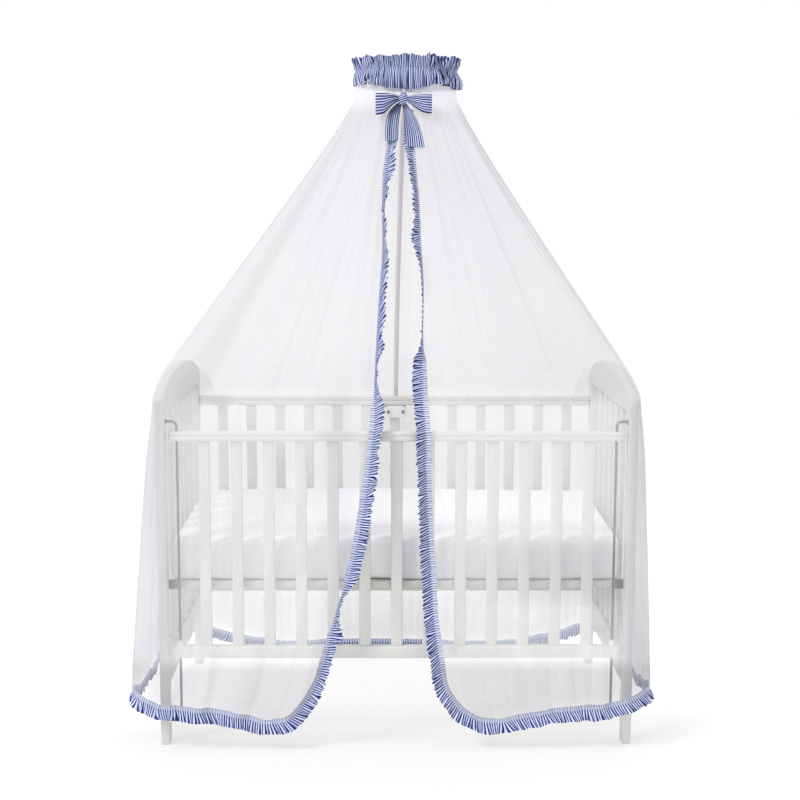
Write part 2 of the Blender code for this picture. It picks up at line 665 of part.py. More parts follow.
# ---------------------------------------------------------------- edge frill
def net_border(grid):
    """The net's edge from under the heading down the left of the opening, along the hem and
    up the right: its points with the neighbours inside the net and the turn of the frill."""
    foot = len(grid) - 1
    last = len(grid[0]) - 1
    border = []
    for r in range(1, foot):
        border.append((grid[r][0], grid[r][1], read_table(LEFT_TURN, grid[r][0].z)))
    border.append((grid[foot][0], grid[foot - 1][1], 0.0))
    for c in range(1, last):
        border.append((grid[foot][c], grid[foot - 1][c], 0.0))
    border.append((grid[foot][last], grid[foot - 1][last - 1], 0.0))
    for r in range(foot - 1, 0, -1):
        border.append((grid[r][last], grid[r][last - 1], read_table(RIGHT_TURN, grid[r][last].z)))
    return border


def frill_frames(border):
    """At each border point: the point, the direction away from the net, the outward normal."""
    frames = []
    for k, (point, inside, turn) in enumerate(border):
        before = border[max(k - 1, 0)][0]
        after = border[min(k + 1, len(border) - 1)][0]
        tangent = (after - before).normalized()
        away = point - inside
        away = (away - tangent * away.dot(tangent)).normalized()
        normal = tangent.cross(away).normalized()
        frames.append((point, away, normal, turn))
    return frames


def build_frill(grid):
    frames = frill_frames(net_border(grid))
    drop_start = 0.004      # keeps the ends clear of the heading
    first, second = frames[0][0], frames[1][0]
    frames[0] = (first + (second - first).normalized() * drop_start, *frames[0][1:])
    first, second = frames[-1][0], frames[-2][0]
    frames[-1] = (first + (second - first).normalized() * drop_start, *frames[-1][1:])
    dense = []
    for a, b in zip(frames, frames[1:]):
        dense.append(a)
        dense.append((a[0].lerp(b[0], 0.5), a[1].lerp(b[1], 0.5).normalized(),
                      a[2].lerp(b[2], 0.5).normalized(), blend(a[3], b[3], 0.5)))
    dense.append(frames[-1])
    rows = [[], [], []]
    for k, (point, away, normal, turn) in enumerate(dense):
        wave = FRILL_WAVE * (1 if k % 2 else -1) * (0.7 + 0.3 * math.sin(k * 1.7))
        angle = math.radians(turn)
        free = away * math.cos(angle) + normal * math.sin(angle)
        across = normal * math.cos(angle) - away * math.sin(angle)
        calm = smooth((1.64 - point.z) / 0.12)
        rows[0].append(point - away * FRILL_IN - normal * (FRILL_TUCK + 0.0012 * (1 + k % 2)))
        rows[1].append(point + away * 0.0015 - normal * 0.0024)
        rows[2].append(point + free * FRILL_OUT + across * wave * calm)
    return sheet_from_grid("edge_frill", rows, FRILL_THICK, STRIPE_CLOTH)


# ---------------------------------------------------------------- heading
def build_heading():
    grid = []
    rows = [("band", *row) for row in BAND_ROWS] + [("frill", *row) for row in FRILL_ROWS]
    for kind, part, off, wave in rows:
        row = []
        for k in range(BAND_COLUMNS):
            turn = 360.0 * k / BAND_COLUMNS
            foot = read_table(BAND_FOOT, turn)
            z = blend(GATHER_Z, foot if kind == "band" else BAND_TOP_Z, part)
            swing = math.sin(2 * math.pi * BAND_WAVES * k / BAND_COLUMNS + 0.8)
            swing *= 0.75 + 0.25 * math.sin(5 * math.radians(turn) + 1.0)
            reach = off + wave * swing
            row.append(ring_point(turn, (NET_TOP[0] + reach, NET_TOP[1] + reach), z))
        grid.append(row)
    sheet_from_grid("heading_band", grid[::-1], BAND_THICK, STRIPE_CLOTH, closed=True)


# ---------------------------------------------------------------- bow
def slope_y(z):
    """Where the middle of the net stands under the heading's front, by height."""
    top = ring_point(0, NET_TOP, CONE_TOP_Z)
    part = (CONE_TOP_Z - z) / (CONE_TOP_Z - RAIL_SHOULDER_Z)
    ys = [blend(top.y, FRONT_SHOULDER_Y, p) + SAG * math.sin(math.pi * p**SAG_SHAPE)
          for p in CONE_ROWS]
    for k in range(len(ys) - 1):
        if part <= CONE_ROWS[k + 1]:
            break
    return blend(ys[k], ys[k + 1], (part - CONE_ROWS[k]) / (CONE_ROWS[k + 1] - CONE_ROWS[k]))


# Left and right tail: height, left side, right side, depth of the pleat in the middle.
TAIL_LEFT = ((1.752, 0.001, 0.011, 0.0), (1.735, -0.010, 0.009, 0.003),
             (1.705, -0.026, 0.005, 0.006), (1.680, -0.033, 0.001, 0.006),
             (1.650, -0.036, -0.001, 0.005))
TAIL_RIGHT = ((1.752, 0.013, 0.023, 0.0), (1.735, 0.014, 0.036, 0.003),
              (1.705, 0.016, 0.053, 0.007), (1.670, 0.018, 0.066, 0.008),
              (1.632, 0.019, 0.078, 0.006))


def build_tail(name, rows):
    """A flat ribbon end with two soft pleats, hanging down the slope before the net."""
    steps = 8
    grid = []
    for z, left, right, pleat in rows:
        row = []
        for k in range(steps + 1):
            part = k / steps
            lift = pleat * math.sin(2 * math.pi * part) ** 2
            row.append(Vector((blend(right, left, part), slope_y(z) - TAIL_OFF - lift, z)))
        grid.append(row)
    sheet_from_grid(name, grid, TAIL_THICK, STRIPE_CLOTH)


# One loop: reach from the knot, distance before its own middle plane, lower and upper edge.
LOOP_RUN = ((0.0122, 0.0030, -0.013, 0.013), (0.030, 0.0085, -0.018, 0.018),
            (0.052, 0.0110, -0.024, 0.023), (0.066, 0.0070, -0.026, 0.025),
            (0.0700, 0.0, -0.026, 0.025))


def build_loop(name, side, reach, tilt):
    """A loop of ribbon: out before its middle plane, round, and back behind it."""
    start = LOOP_RUN[0][0]
    front = [(start + (r - start) * reach, d, low, high) for r, d, low, high in LOOP_RUN]
    run = front + [(r, -d, low, high) for r, d, low, high in front[-2::-1]]
    middle_y = slope_y(KNOT_Z) - TAIL_OFF - LOOP_OFF
    grid = []
    heights = 4
    for k in range(heights + 1):
        row = []
        for r, d, low, high in run:
            z = KNOT_Z + blend(high, low, k / heights) + tilt * r
            row.append(Vector((BOW_X + side * r, middle_y - d, z)))
        grid.append(row if side > 0 else row[::-1])
    sheet_from_grid(name, grid, LOOP_THICK, STRIPE_CLOTH)


def build_bow():
    build_tail("bow_tail_left", TAIL_LEFT)
    build_tail("bow_tail_right", TAIL_RIGHT)
    build_loop("bow_loop_left", -1, 1.0, -0.05)
    build_loop("bow_loop_right", 1, 1.46, -0.08)
    y = slope_y(KNOT_Z) - TAIL_OFF - KNOT_OFF
    knot = box("bow_knot", (BOW_X - KNOT_HALF[0] + GAP, y - KNOT_HALF[1], KNOT_Z - KNOT_HALF[2]),
               (BOW_X + KNOT_HALF[0] - GAP, y + KNOT_HALF[1], KNOT_Z + KNOT_HALF[2]),
               STRIPE_CLOTH, bevel=0.005, segments=2)
    knot.data.shade_smooth()


build_cot()
build_pole()
build_clamp()
NET = net_grid()
sheet_from_grid("net", NET, SHEET, MESH_CLOTH)
build_frill(NET)
build_heading()
build_bow()
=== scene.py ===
# %% [markdown]
# # A mosquito net canopy over a cot
#
# The real object is a sheer net, gathered on a ring at the top of a thin pole and open down the
# front. It falls over a white slatted cot, and a frill of blue and white striped cotton runs
# round its edge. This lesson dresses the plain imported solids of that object. Each step explains
# what the real piece is, then makes it, and prints what it made.

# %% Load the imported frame
import math

import bmesh
import bpy
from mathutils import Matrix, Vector, noise


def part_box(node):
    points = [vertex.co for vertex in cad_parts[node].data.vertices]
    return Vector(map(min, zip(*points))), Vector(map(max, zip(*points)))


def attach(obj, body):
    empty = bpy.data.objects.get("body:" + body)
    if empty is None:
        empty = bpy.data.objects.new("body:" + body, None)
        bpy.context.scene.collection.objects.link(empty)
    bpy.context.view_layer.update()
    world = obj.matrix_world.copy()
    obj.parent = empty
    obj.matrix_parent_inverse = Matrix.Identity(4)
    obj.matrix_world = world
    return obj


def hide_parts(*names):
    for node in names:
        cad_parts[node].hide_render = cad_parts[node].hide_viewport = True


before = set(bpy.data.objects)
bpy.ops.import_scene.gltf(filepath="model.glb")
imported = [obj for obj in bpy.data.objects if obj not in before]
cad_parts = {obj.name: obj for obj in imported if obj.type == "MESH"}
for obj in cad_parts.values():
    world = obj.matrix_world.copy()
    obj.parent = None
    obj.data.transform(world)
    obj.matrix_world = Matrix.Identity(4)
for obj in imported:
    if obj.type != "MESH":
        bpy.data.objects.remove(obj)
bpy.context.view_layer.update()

# %% [markdown]
# ## Camera, floor and light
#
# The photograph was taken from about four metres and from 1.4 m above the floor, with a lens of
# about 62 mm. The studio is a white floor that runs into a white background, and the light comes
# from everywhere. A bright even sky does that in one step, a soft light from the upper left adds
# the faint shading, and a second one, much weaker and wider, opens the shadows on the right.

# %% Camera
camera_data = bpy.data.cameras.new("camera")
camera_data.lens = 61.97
camera_data.sensor_width = 36.0
camera = bpy.data.objects.new("camera", camera_data)
camera.location = (-0.0396, -3.992, 1.4306)
camera.rotation_euler = [math.radians(a) for a in (82.517, -0.165, -0.717)]
bpy.context.scene.collection.objects.link(camera)
bpy.context.scene.camera = camera
bpy.context.scene.view_settings.view_transform = "Standard"
print("camera at", tuple(round(c, 3) for c in camera.location))


# %% Sky and lamps
def soft_sun(name, place, spread, share):
    """A far light, spread in degrees. share is its brightness beside the sky's."""
    data = bpy.data.lights.new(name, "SUN")
    data.angle = math.radians(spread)
    data.energy = share * math.pi
    made = bpy.data.objects.new(name, data)
    made.location = place
    made.rotation_euler = (-Vector(place)).to_track_quat("-Z", "Y").to_euler()
    bpy.context.scene.collection.objects.link(made)
    return made


sky = bpy.context.scene.world or bpy.data.worlds.new("sky")
bpy.context.scene.world = sky
sky.use_nodes = True
sky.node_tree.nodes["Background"].inputs["Color"].default_value = (1.0, 1.0, 1.0, 1.0)
sky.node_tree.nodes["Background"].inputs["Strength"].default_value = 1.0
soft_sun("key_lamp", (-3.4, -2.4, 4.0), 16.0, 0.50)
soft_sun("fill_lamp", (3.4, -2.0, 3.0), 90.0, 0.05)

# %% [markdown]
# ## Writing node trees as sums
#
# Both a shader and a Geometry Nodes tree are nodes and links. Two small tools make them readable
# here. `node` adds any node, sets its settings first and then its sockets. `Wire` stands for one
# output socket, and arithmetic on it adds the Math nodes, so `1 - mask` is written just so.
# `above` and `below` make soft masks that rise from 0 to 1 past a limit.


# %% Node tools
class Wire:
    """One output socket of a node tree."""

    def __init__(self, tree, socket):
        self.tree = tree
        self.socket = socket

    def math(self, operation, *others):
        values = dict(enumerate((self, *others)))
        return node(self.tree, "ShaderNodeMath", {"operation": operation}, values)

    def __add__(self, other):
        return self.math("ADD", other)

    def __mul__(self, other):
        return self.math("MULTIPLY", other)

    def __sub__(self, other):
        return self.math("SUBTRACT", other)

    def __truediv__(self, other):
        return self.math("DIVIDE", other)

    def __rsub__(self, other):
        return node(self.tree, "ShaderNodeMath", {"operation": "SUBTRACT"}, {0: other, 1: self})

    __radd__ = __add__
    __rmul__ = __mul__

    def sin(self):
        return self.math("SINE")

    def limited(self):
        """The same value, kept between 0 and 1."""
        return node(self.tree, "ShaderNodeClamp", None, {"Value": self})

    def above(self, limit, span):
        """0 up to the limit, then rising to 1 within the span."""
        return ((self - limit) / span).limited()

    def below(self, limit, span):
        """0 down to the limit, then rising to 1 within the span."""
        return ((limit - self) / span).limited()


def node(tree, kind, settings=None, values=None, out=0):
    """Adds a node. settings are its own choices, values are its sockets' numbers or Wires."""
    made = tree.nodes.new(kind)
    for key, value in (settings or {}).items():
        if key == "stops":
            ramp = made.color_ramp
            while len(ramp.elements) < len(value):
                ramp.elements.new(1.0)
            for element, (place, colour) in zip(ramp.elements, value):
                element.position = place
                element.color = colour
        else:
            setattr(made, key, value)
    for key, value in (values or {}).items():
        if isinstance(value, Wire):
            tree.links.new(value.socket, made.inputs[key])
        else:
            made.inputs[key].default_value = value
    return Wire(tree, made.outputs[out]) if made.outputs else None


def mixed(tree, share, first, second):
    """A colour between two colours."""
    return node(tree, "ShaderNodeMix", {"data_type": "RGBA"}, {0: share, 6: first, 7: second}, 2)


def grain(tree, place, scale, detail=2.0, stretch=(1, 1, 1)):
    """Soft noise from 0 to 1 on a place vector, stretched along its axes."""
    turned = node(tree, "ShaderNodeMapping", None, {"Vector": place, "Scale": stretch})
    return node(tree, "ShaderNodeTexNoise", None,
                {"Vector": turned, "Scale": scale, "Detail": detail, "Roughness": 0.55})


def bump(tree, height, distance, strength=1.0):
    return node(tree, "ShaderNodeBump", None,
                {"Height": height, "Distance": distance, "Strength": strength})


def new_material(name, recipe):
    """A Principled material. recipe(tree) gives the shader's sockets."""
    made = bpy.data.materials.new(name)
    made.use_nodes = True
    tree = made.node_tree
    tree.nodes.clear()
    shader = node(tree, "ShaderNodeBsdfPrincipled", None, recipe(tree))
    node(tree, "ShaderNodeOutputMaterial", None, {"Surface": shader})
    return made


def on_object(tree):
    return node(tree, "ShaderNodeTexCoord", None, None, 3)


def on_cloth(tree):
    """Place on the cloth as it was cut, in metres."""
    return node(tree, "ShaderNodeUVMap", {"uv_map": "cloth"})


def axis_of(tree, vector, axis):
    return node(tree, "ShaderNodeSeparateXYZ", None, {0: vector}, "XYZ".index(axis))


print("node tools ready")

# %% [markdown]
# ## The floor
#
# A product photographer's floor is matt, and lit so strongly that it stays white beneath the
# object. Here it glows a little, as a light table does. It isn't part of the object, so it is
# only staged. It glows a little less in front, so that the shade of the front legs shows. Far
# away it fades to the sky's own brightness, so that no horizon is seen through the net. A slight
# unevenness keeps it from looking like a hole in the picture.


# %% Floor
def floor_recipe(tree):
    cloud = grain(tree, on_object(tree), 0.6)
    behind = axis_of(tree, on_object(tree), "Y").above(-0.30, 0.30)
    far = node(tree, "ShaderNodeVectorMath", {"operation": "LENGTH"}, {0: on_object(tree)}, 1)
    glow = mixed(tree, behind, (0.74, 0.74, 0.74, 1), (1.0, 1.0, 1.0, 1))
    glow = mixed(tree, far.above(1.2, 2.6), glow, (0.695, 0.695, 0.695, 1))
    return {"Base Color": mixed(tree, cloud, (0.36, 0.36, 0.36, 1), (0.34, 0.34, 0.342, 1)),
            "Roughness": 0.9, "Specular IOR Level": 0.1,
            "Emission Color": glow, "Emission Strength": 0.76}


floor_mesh = bpy.data.meshes.new("floor")
FLOOR = 9.0
floor_mesh.from_pydata([(-FLOOR, -FLOOR, 0), (FLOOR, -FLOOR, 0), (FLOOR, FLOOR, 0),
                        (-FLOOR, FLOOR, 0)], [], [(0, 1, 2, 3)])
floor_mesh.materials.append(new_material("studio_floor", floor_recipe))
floor = bpy.data.objects.new("floor", floor_mesh)
floor.location.z = -0.0005
bpy.context.scene.collection.objects.link(floor)
print("floor", 2 * FLOOR, "m wide")

# %% [markdown]
# ## Paint on wood
#
# The cot is timber under a satin off-white paint. Paint hides the colour of the wood but not its
# grain: fine ridges run along each board, and the paint is a shade uneven. The same recipe is
# made three times, with its ridges along X, Y or Z, because a board's grain runs along it. The
# board under the mattress gets a darker copy of the same paint: painted shade, as it lies in the
# mattress's shadow.


# %% White paint
def paint_recipe(direction, dark=(0.590, 0.592, 0.570, 1), light=(0.660, 0.662, 0.638, 1)):
    def recipe(tree):
        place = on_object(tree)
        along = [1.0 if axis == direction else 14.0 for axis in "XYZ"]
        ridges = grain(tree, place, 26.0, 4.0, along)
        patches = grain(tree, place, 5.0, 2.0)
        specks = grain(tree, place, 420.0, 1.0)
        tone = (ridges * 0.5 + patches * 0.5).limited()
        return {"Base Color": mixed(tree, tone, dark, light),
                "Roughness": 0.36 + patches * 0.16,
                "Coat Weight": 0.12, "Coat Roughness": 0.3,
                "Normal": bump(tree, ridges * 0.8 + specks * 0.2, 0.0006, 0.5)}
    return recipe


PAINT = {axis: new_material(f"white_paint_{axis.lower()}", paint_recipe(axis)) for axis in "XYZ"}
# a darker copy of the white paint: painted shade on the board under the mattress
SHADED_BOARD_PAINT = new_material("board_paint_painted_shade", paint_recipe("X", (0.54, 0.54, 0.50, 1),
                                                         (0.62, 0.62, 0.58, 1)))
print("paint:", sorted(m.name for m in PAINT.values()), SHADED_BOARD_PAINT.name)

# %% [markdown]
# ## Enamel, steel and plastic
#
# The canopy's pole, ring and clamp are steel under white enamel, smoother than the wood's paint.
# The pole's enamel is a darker copy of the same finish: painted shade on the thin pole. The cot's
# guide rods and brackets are bare dark steel, drawn along their length, and the clamp's bolts are
# a lighter zinc. The catches at the foot of the drop side are cream plastic.


# %% White enamel, dark steel, cream plastic
def enamel_recipe(dark, light):
    def recipe(tree):
        place = on_object(tree)
        peel = grain(tree, place, 260.0, 1.0)
        rub = grain(tree, place, 9.0, 3.0)
        return {"Base Color": mixed(tree, rub, (dark, dark, dark + 0.005, 1),
                                    (light, light, light, 1)),
                "Roughness": 0.22 + rub * 0.16, "Coat Weight": 0.3, "Coat Roughness": 0.12,
                "Normal": bump(tree, peel, 0.00025, 0.35)}
    return recipe


def steel_recipe(dark, light):
    def recipe(tree):
        place = on_object(tree)
        drawn = grain(tree, place, 60.0, 3.0, (8, 8, 1))
        stains = grain(tree, place, 18.0, 3.0)
        return {"Base Color": mixed(tree, stains, (dark, dark, dark * 1.05, 1),
                                    (light, light, light * 1.04, 1)),
                "Metallic": 0.9, "Roughness": 0.3 + drawn * 0.25,
                "Normal": bump(tree, drawn, 0.0002, 0.4)}
    return recipe


def plastic_recipe(tree):
    place = on_object(tree)
    fine = grain(tree, place, 300.0, 2.0)
    soft = grain(tree, place, 20.0)
    return {"Base Color": mixed(tree, soft, (0.76, 0.73, 0.66, 1), (0.80, 0.78, 0.72, 1)),
            "Roughness": 0.42 + fine * 0.1, "Normal": bump(tree, fine, 0.0002, 0.3)}


ENAMEL = new_material("white_enamel", enamel_recipe(0.74, 0.82))
# a darker copy of the white enamel: painted shade on the pole
SHADED_POLE_ENAMEL = new_material("pole_enamel_painted_shade", enamel_recipe(0.54, 0.62))
STEEL = new_material("dark_steel", steel_recipe(0.11, 0.24))
ZINC = new_material("zinc_steel", steel_recipe(0.26, 0.44))
PLASTIC = new_material("cream_plastic", plastic_recipe)
print("hard finishes:", [m.name for m in (ENAMEL, SHADED_POLE_ENAMEL, STEEL, ZINC, PLASTIC)])

# %% [markdown]
# ## The net
#
# Fine net lets most light through. Its holes are far smaller than a pixel from four metres, but
# close up a woven grid should show, so the Alpha of the material carries both: a grid two
# millimetres apart, and a density that was worked out for each point of the cloth. Where the
# cloth is gathered or stands in a fold, more threads lie behind each other and it turns milky.
# The colour carries painted light and shade. The upright part before the cot gets a painted
# highlight, as if it took light from the white wood around it, and looks whitest, but for two
# patches of painted shade: a band left of the opening, and the part before the mattress's right
# half. Denser places, the right side and the back get painted shade, the neck under the heading a
# painted highlight, and the hem, in the cot's own shade, is painted greyest.


# %% Net cloth
NET_CELL = 0.0022


def net_recipe(tree):
    place = on_cloth(tree)
    density = node(tree, "ShaderNodeAttribute", {"attribute_name": "milkiness"}, None, 2)
    across = (axis_of(tree, place, "X") * (math.pi / NET_CELL)).sin()
    down = (axis_of(tree, place, "Y") * (math.pi / NET_CELL)).sin()
    threads = node(tree, "ShaderNodeMath", {"operation": "MAXIMUM"},
                   {0: across * across, 1: down * down})
    cloud = grain(tree, place, 5.0, 3.0)
    streaks = grain(tree, place, 13.0, 2.5, (1.0, 0.05, 1.0))
    # painted shade: the cloth is painted darker where it is denser and in folds
    shade = (density * 1.1 + cloud * 0.25 - 0.2).limited()
    spot = on_object(tree)
    x, y, height = [axis_of(tree, spot, axis) for axis in "XYZ"]
    under = height.below(0.262, 0.04)
    beside = x.math("ABSOLUTE").above(0.590, 0.05)
    front = (0.0 - y * 6.0 - 0.8).limited()
    # painted light: the upright net before the cot is painted whiter
    painted_light = height.below(0.985, 0.05) * (1.0 - under) * (1.0 - beside) * front
    # two patches of painted shade inside the painted light
    painted_shade_left_band = (1.4 - ((x + 0.160) / 0.055).math("ABSOLUTE")).limited()
    painted_shade_low_right = x.above(0.10, 0.34) * (height.below(0.60, 0.06) * height.above(0.39, 0.05))
    painted_light = painted_light * (1.0 - painted_shade_left_band * 0.8) * (1.0 - painted_shade_low_right * 0.9)
    cloth = mixed(tree, shade, (0.645, 0.635, 0.68, 1), (0.56, 0.55, 0.61, 1))
    cloth = mixed(tree, painted_light * (1.0 - shade * 0.35), cloth, (0.95, 0.945, 0.965, 1))
    # painted shade: the net right of the middle, outside the painted light, is painted darker
    away = (x * 2.0 + 0.10).limited() * (1.0 - painted_light) * (1.0 - under) * 0.8
    cloth = mixed(tree, away, cloth, (0.53, 0.505, 0.55, 1))
    # painted highlight: the net under the heading is painted lighter, against the heading's shadow
    neck = height.above(1.74, 0.05)
    cloth = mixed(tree, neck * 0.7, cloth, (0.90, 0.89, 0.95, 1))
    # painted shade: the net behind the cot is painted darker
    rear = (y * 8.0 - 2.0).limited() * height.above(0.42, 0.12)
    cloth = mixed(tree, rear * height.below(1.0, 0.08), cloth, (0.47, 0.46, 0.50, 1))
    # painted shade: the hem below the rails, in the cot's shade, is painted darkest
    painted_hem_shade = under * (x * 0.25 + 0.80).limited() * density.above(0.20, 0.10)
    return {"Base Color": mixed(tree, painted_hem_shade, cloth, (0.34, 0.335, 0.36, 1)),
            "Roughness": 0.85, "Specular IOR Level": 0.2,
            "Alpha": (density * (0.84 + streaks * 0.32) + (threads - 0.5) * 0.06
                      + (cloud - 0.5) * 0.10).limited()}


NET = new_material("net_cloth", net_recipe)
print("net cell", NET_CELL * 1000, "mm")

# %% [markdown]
# ## Striped cotton
#
# Heading, frill and bow are one cloth: plain-woven cotton with fine blue and white stripes, six
# to seven millimetres from stripe to stripe. The stripes follow the cloth, so they are drawn on
# its own flat measure, kept in the UV map in metres. The three pieces differ a little, as each
# is stretched in its own way when it is sewn. The stripes waver, since the cloth is sewn by
# hand, and the dye is not quite even. Deep between two gathers hardly any light
# gets in, so the ruffle tree further down stores where the valleys are, and they turn dark. Far
# below zero the same value marks the side that is sewn behind the net and looks pale through it.


# %% Striped cotton
THREAD = 0.0008
BOW_STRIPE, BAND_STRIPE, HEM_STRIPE = 0.0064, 0.0060, 0.0068


def cotton_recipe(pitch, blue_share):
    """Stripes at a pitch in metres. A higher blue_share makes the blue ones broader."""
    def recipe(tree):
        place = on_cloth(tree)
        waver = grain(tree, place, 38.0) * 0.0016
        wave = ((axis_of(tree, place, "X") + waver) * (2 * math.pi / pitch)).sin()
        blue = (wave * 3.0 + 0.5 + blue_share).limited()
        dye = grain(tree, place, 60.0, 3.0)
        thread_x = (axis_of(tree, place, "X") * (2 * math.pi / THREAD)).sin()
        thread_y = (axis_of(tree, place, "Y") * (2 * math.pi / THREAD)).sin()
        ink = mixed(tree, dye, (0.011, 0.017, 0.095, 1), (0.026, 0.038, 0.190, 1))
        white = mixed(tree, dye, (0.52, 0.59, 0.82, 1), (0.64, 0.70, 0.92, 1))
        cloth = mixed(tree, blue, white, ink)
        valley = node(tree, "ShaderNodeAttribute", {"attribute_name": "valley"}, None, 2)
        tucked = (0.0 - valley - 1.6).limited()
        cloth = mixed(tree, tucked * 0.45, cloth, (0.68, 0.76, 0.97, 1))
        return {"Base Color": mixed(tree, valley.limited() * 0.78, cloth, (0.016, 0.020, 0.075, 1)),
                "Roughness": 0.82 + dye * 0.1, "Specular IOR Level": 0.25,
                "Normal": bump(tree, thread_x * thread_y, 0.0002, 0.25)}
    return recipe


COTTON = new_material("striped_cotton", cotton_recipe(BOW_STRIPE, 0.60))
COTTON_BAND = new_material("striped_cotton_gathered", cotton_recipe(BAND_STRIPE, 0.65))
COTTON_HEM = new_material("striped_cotton_hem", cotton_recipe(HEM_STRIPE, 0.42))
print("stripe pitches:", [round(p * 1000, 1) for p in (BOW_STRIPE, BAND_STRIPE, HEM_STRIPE)], "mm")


# %% [markdown]
# ## The mattress cover
#
# The mattress wears a smooth fitted sheet in cool white. Its weave is too fine to see, but a
# few soft creases and a slight mottling tell cloth from board. Its sides are painted a shade
# darker than the top: painted shade, as they face away from the light from above.


# %% Mattress sheet
def bedding_recipe(tree):
    place = on_object(tree)
    weave = grain(tree, place, 600.0, 1.0)
    soft = grain(tree, place, 6.0, 4.0)
    # painted shade: the sheet's sides, below the top edge, are painted darker
    painted_side_shade = axis_of(tree, place, "Z").below(0.560, 0.02)
    cover = mixed(tree, soft, (0.85, 0.85, 0.87, 1), (0.92, 0.92, 0.935, 1))
    return {"Base Color": mixed(tree, painted_side_shade, cover, (0.82, 0.82, 0.835, 1)),
            "Roughness": 0.88, "Specular IOR Level": 0.2,
            "Normal": bump(tree, weave * 0.3 + soft * 0.7, 0.0012, 0.35)}


BEDDING = new_material("white_sheet", bedding_recipe)
print("bedding ready")

# %% [markdown]
# ## Tools for pieces
#
# Most cloth here is a grid of points: rows of columns, with the flat measure of the cloth in a
# UV map. Hard pieces start from a box or an outline whose edges are rounded. `fit` hands a piece
# to the frame: it rides on the cot's one body, and stands for the plain solids it replaces.


# %% Piece tools
def link(name, mesh, material):
    made = bpy.data.objects.new(name, mesh)
    mesh.materials.append(material)
    bpy.context.scene.collection.objects.link(made)
    return made


def fit(made, slot, *nodes):
    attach(made, "root")
    if nodes:
        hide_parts(*nodes)
    return made


def blend(a, b, part):
    return a + (b - a) * part


def smooth(value):
    part = min(max(value, 0.0), 1.0)
    return part * part * (3 - 2 * part)


def read_table(rows, place, column=1):
    """The table's value at a place, on a smooth curve through its rows."""
    if place <= rows[0][0]:
        return rows[0][column]
    for k in range(len(rows) - 1):
        a, b = rows[k], rows[k + 1]
        if place <= b[0]:
            before = rows[max(k - 1, 0)]
            after = rows[min(k + 2, len(rows) - 1)]
            span = b[0] - a[0]
            part = (place - a[0]) / span
            slope_a = (b[column] - before[column]) / (b[0] - before[0]) * span
            slope_b = (after[column] - a[column]) / (after[0] - a[0]) * span
            return ((2 * part**3 - 3 * part**2 + 1) * a[column]
                    + (part**3 - 2 * part**2 + part) * slope_a
                    + (3 * part**2 - 2 * part**3) * b[column]
                    + (part**3 - part**2) * slope_b)
    return rows[-1][column]


def grid_mesh(name, grid, measure, closed=False):
    """A sheet through rows of points. measure holds each point's place on the flat cloth."""
    mesh = bpy.data.meshes.new(name)
    wide = len(grid[0])
    faces = []
    corners = []
    for r in range(len(grid) - 1):
        for c in range(wide if closed else wide - 1):
            d = (c + 1) % wide
            faces.append((r * wide + c, r * wide + d, (r + 1) * wide + d, (r + 1) * wide + c))
            corners += [(r, c), (r, c + 1), (r + 1, c + 1), (r + 1, c)]
    mesh.from_pydata([tuple(p) for row in grid for p in row], [], faces)
    layer = mesh.uv_layers.new(name="cloth")
    for item, (r, c) in zip(layer.data, corners):
        item.uv = measure(r, c)
    mesh.shade_smooth()
    return mesh


def rounded(shape, radius, segments=3, sharp=0.5):
    """Rounds the sharp edges of a bmesh shape."""
    edges = [e for e in shape.edges if len(e.link_faces) == 2 and e.calc_face_angle() > sharp]
    bmesh.ops.bevel(shape, geom=edges, offset=radius, segments=segments, profile=0.5,
                    affect="EDGES", clamp_overlap=True)


def merge(shape, part, radius, segments):
    """Rounds a part's sharp edges and adds it to a bmesh shape."""
    if radius:
        rounded(part, radius, segments)
    held = bpy.data.meshes.new("held")
    part.to_mesh(held)
    part.free()
    shape.from_mesh(held)
    bpy.data.meshes.remove(held)


def add_box(shape, low, high, radius, segments=3):
    """Adds a box with rounded edges to a bmesh shape."""
    part = bmesh.new()
    bmesh.ops.create_cube(part, size=1.0)
    size = [high[k] - low[k] for k in range(3)]
    bmesh.ops.scale(part, vec=size, verts=part.verts)
    bmesh.ops.translate(part, vec=[(low[k] + high[k]) / 2 for k in range(3)], verts=part.verts)
    merge(shape, part, radius, segments)


def add_prism(shape, outline, low, high, axis, radius=0.0, segments=3):
    """Adds an outline drawn across an axis and drawn out along it from low to high."""
    order = {"X": (2, 0, 1), "Y": (0, 2, 1), "Z": (0, 1, 2)}[axis]
    part = bmesh.new()
    ends = []
    for depth in (low, high):
        ends.append([part.verts.new([(a, b, depth)[k] for k in order]) for a, b in outline])
    part.faces.new(ends[0])
    part.faces.new(ends[1])
    for k in range(len(outline)):
        n = (k + 1) % len(outline)
        part.faces.new((ends[0][k], ends[0][n], ends[1][n], ends[1][k]))
    bmesh.ops.recalc_face_normals(part, faces=part.faces)
    merge(shape, part, radius, segments)


def finish_shape(name, shape, material, angle=40.0):
    """Turns a bmesh shape into an object, smooth but for its sharp edges."""
    mesh = bpy.data.meshes.new(name)
    shape.to_mesh(mesh)
    shape.free()
    mesh.shade_smooth()
    mesh.set_sharp_from_angle(angle=math.radians(angle))
    return link(name, mesh, material)


print("piece tools ready")

# %% [markdown]
# ## The shape of the net
#
# From the ring the net runs down as a cone, bends over the cot's rails and arched ends, and
# hangs in front of them to a hem just above the floor. It is one sheet, so it is made as one
# grid. Its columns are set out along the bend, from the left edge of the front opening round
# the back to the right edge. The numbers are the object's own, in metres. They match the packed
# solid but for two lines that were read again from the photograph: the left edge of the opening
# on the cone, and the hem at the back.

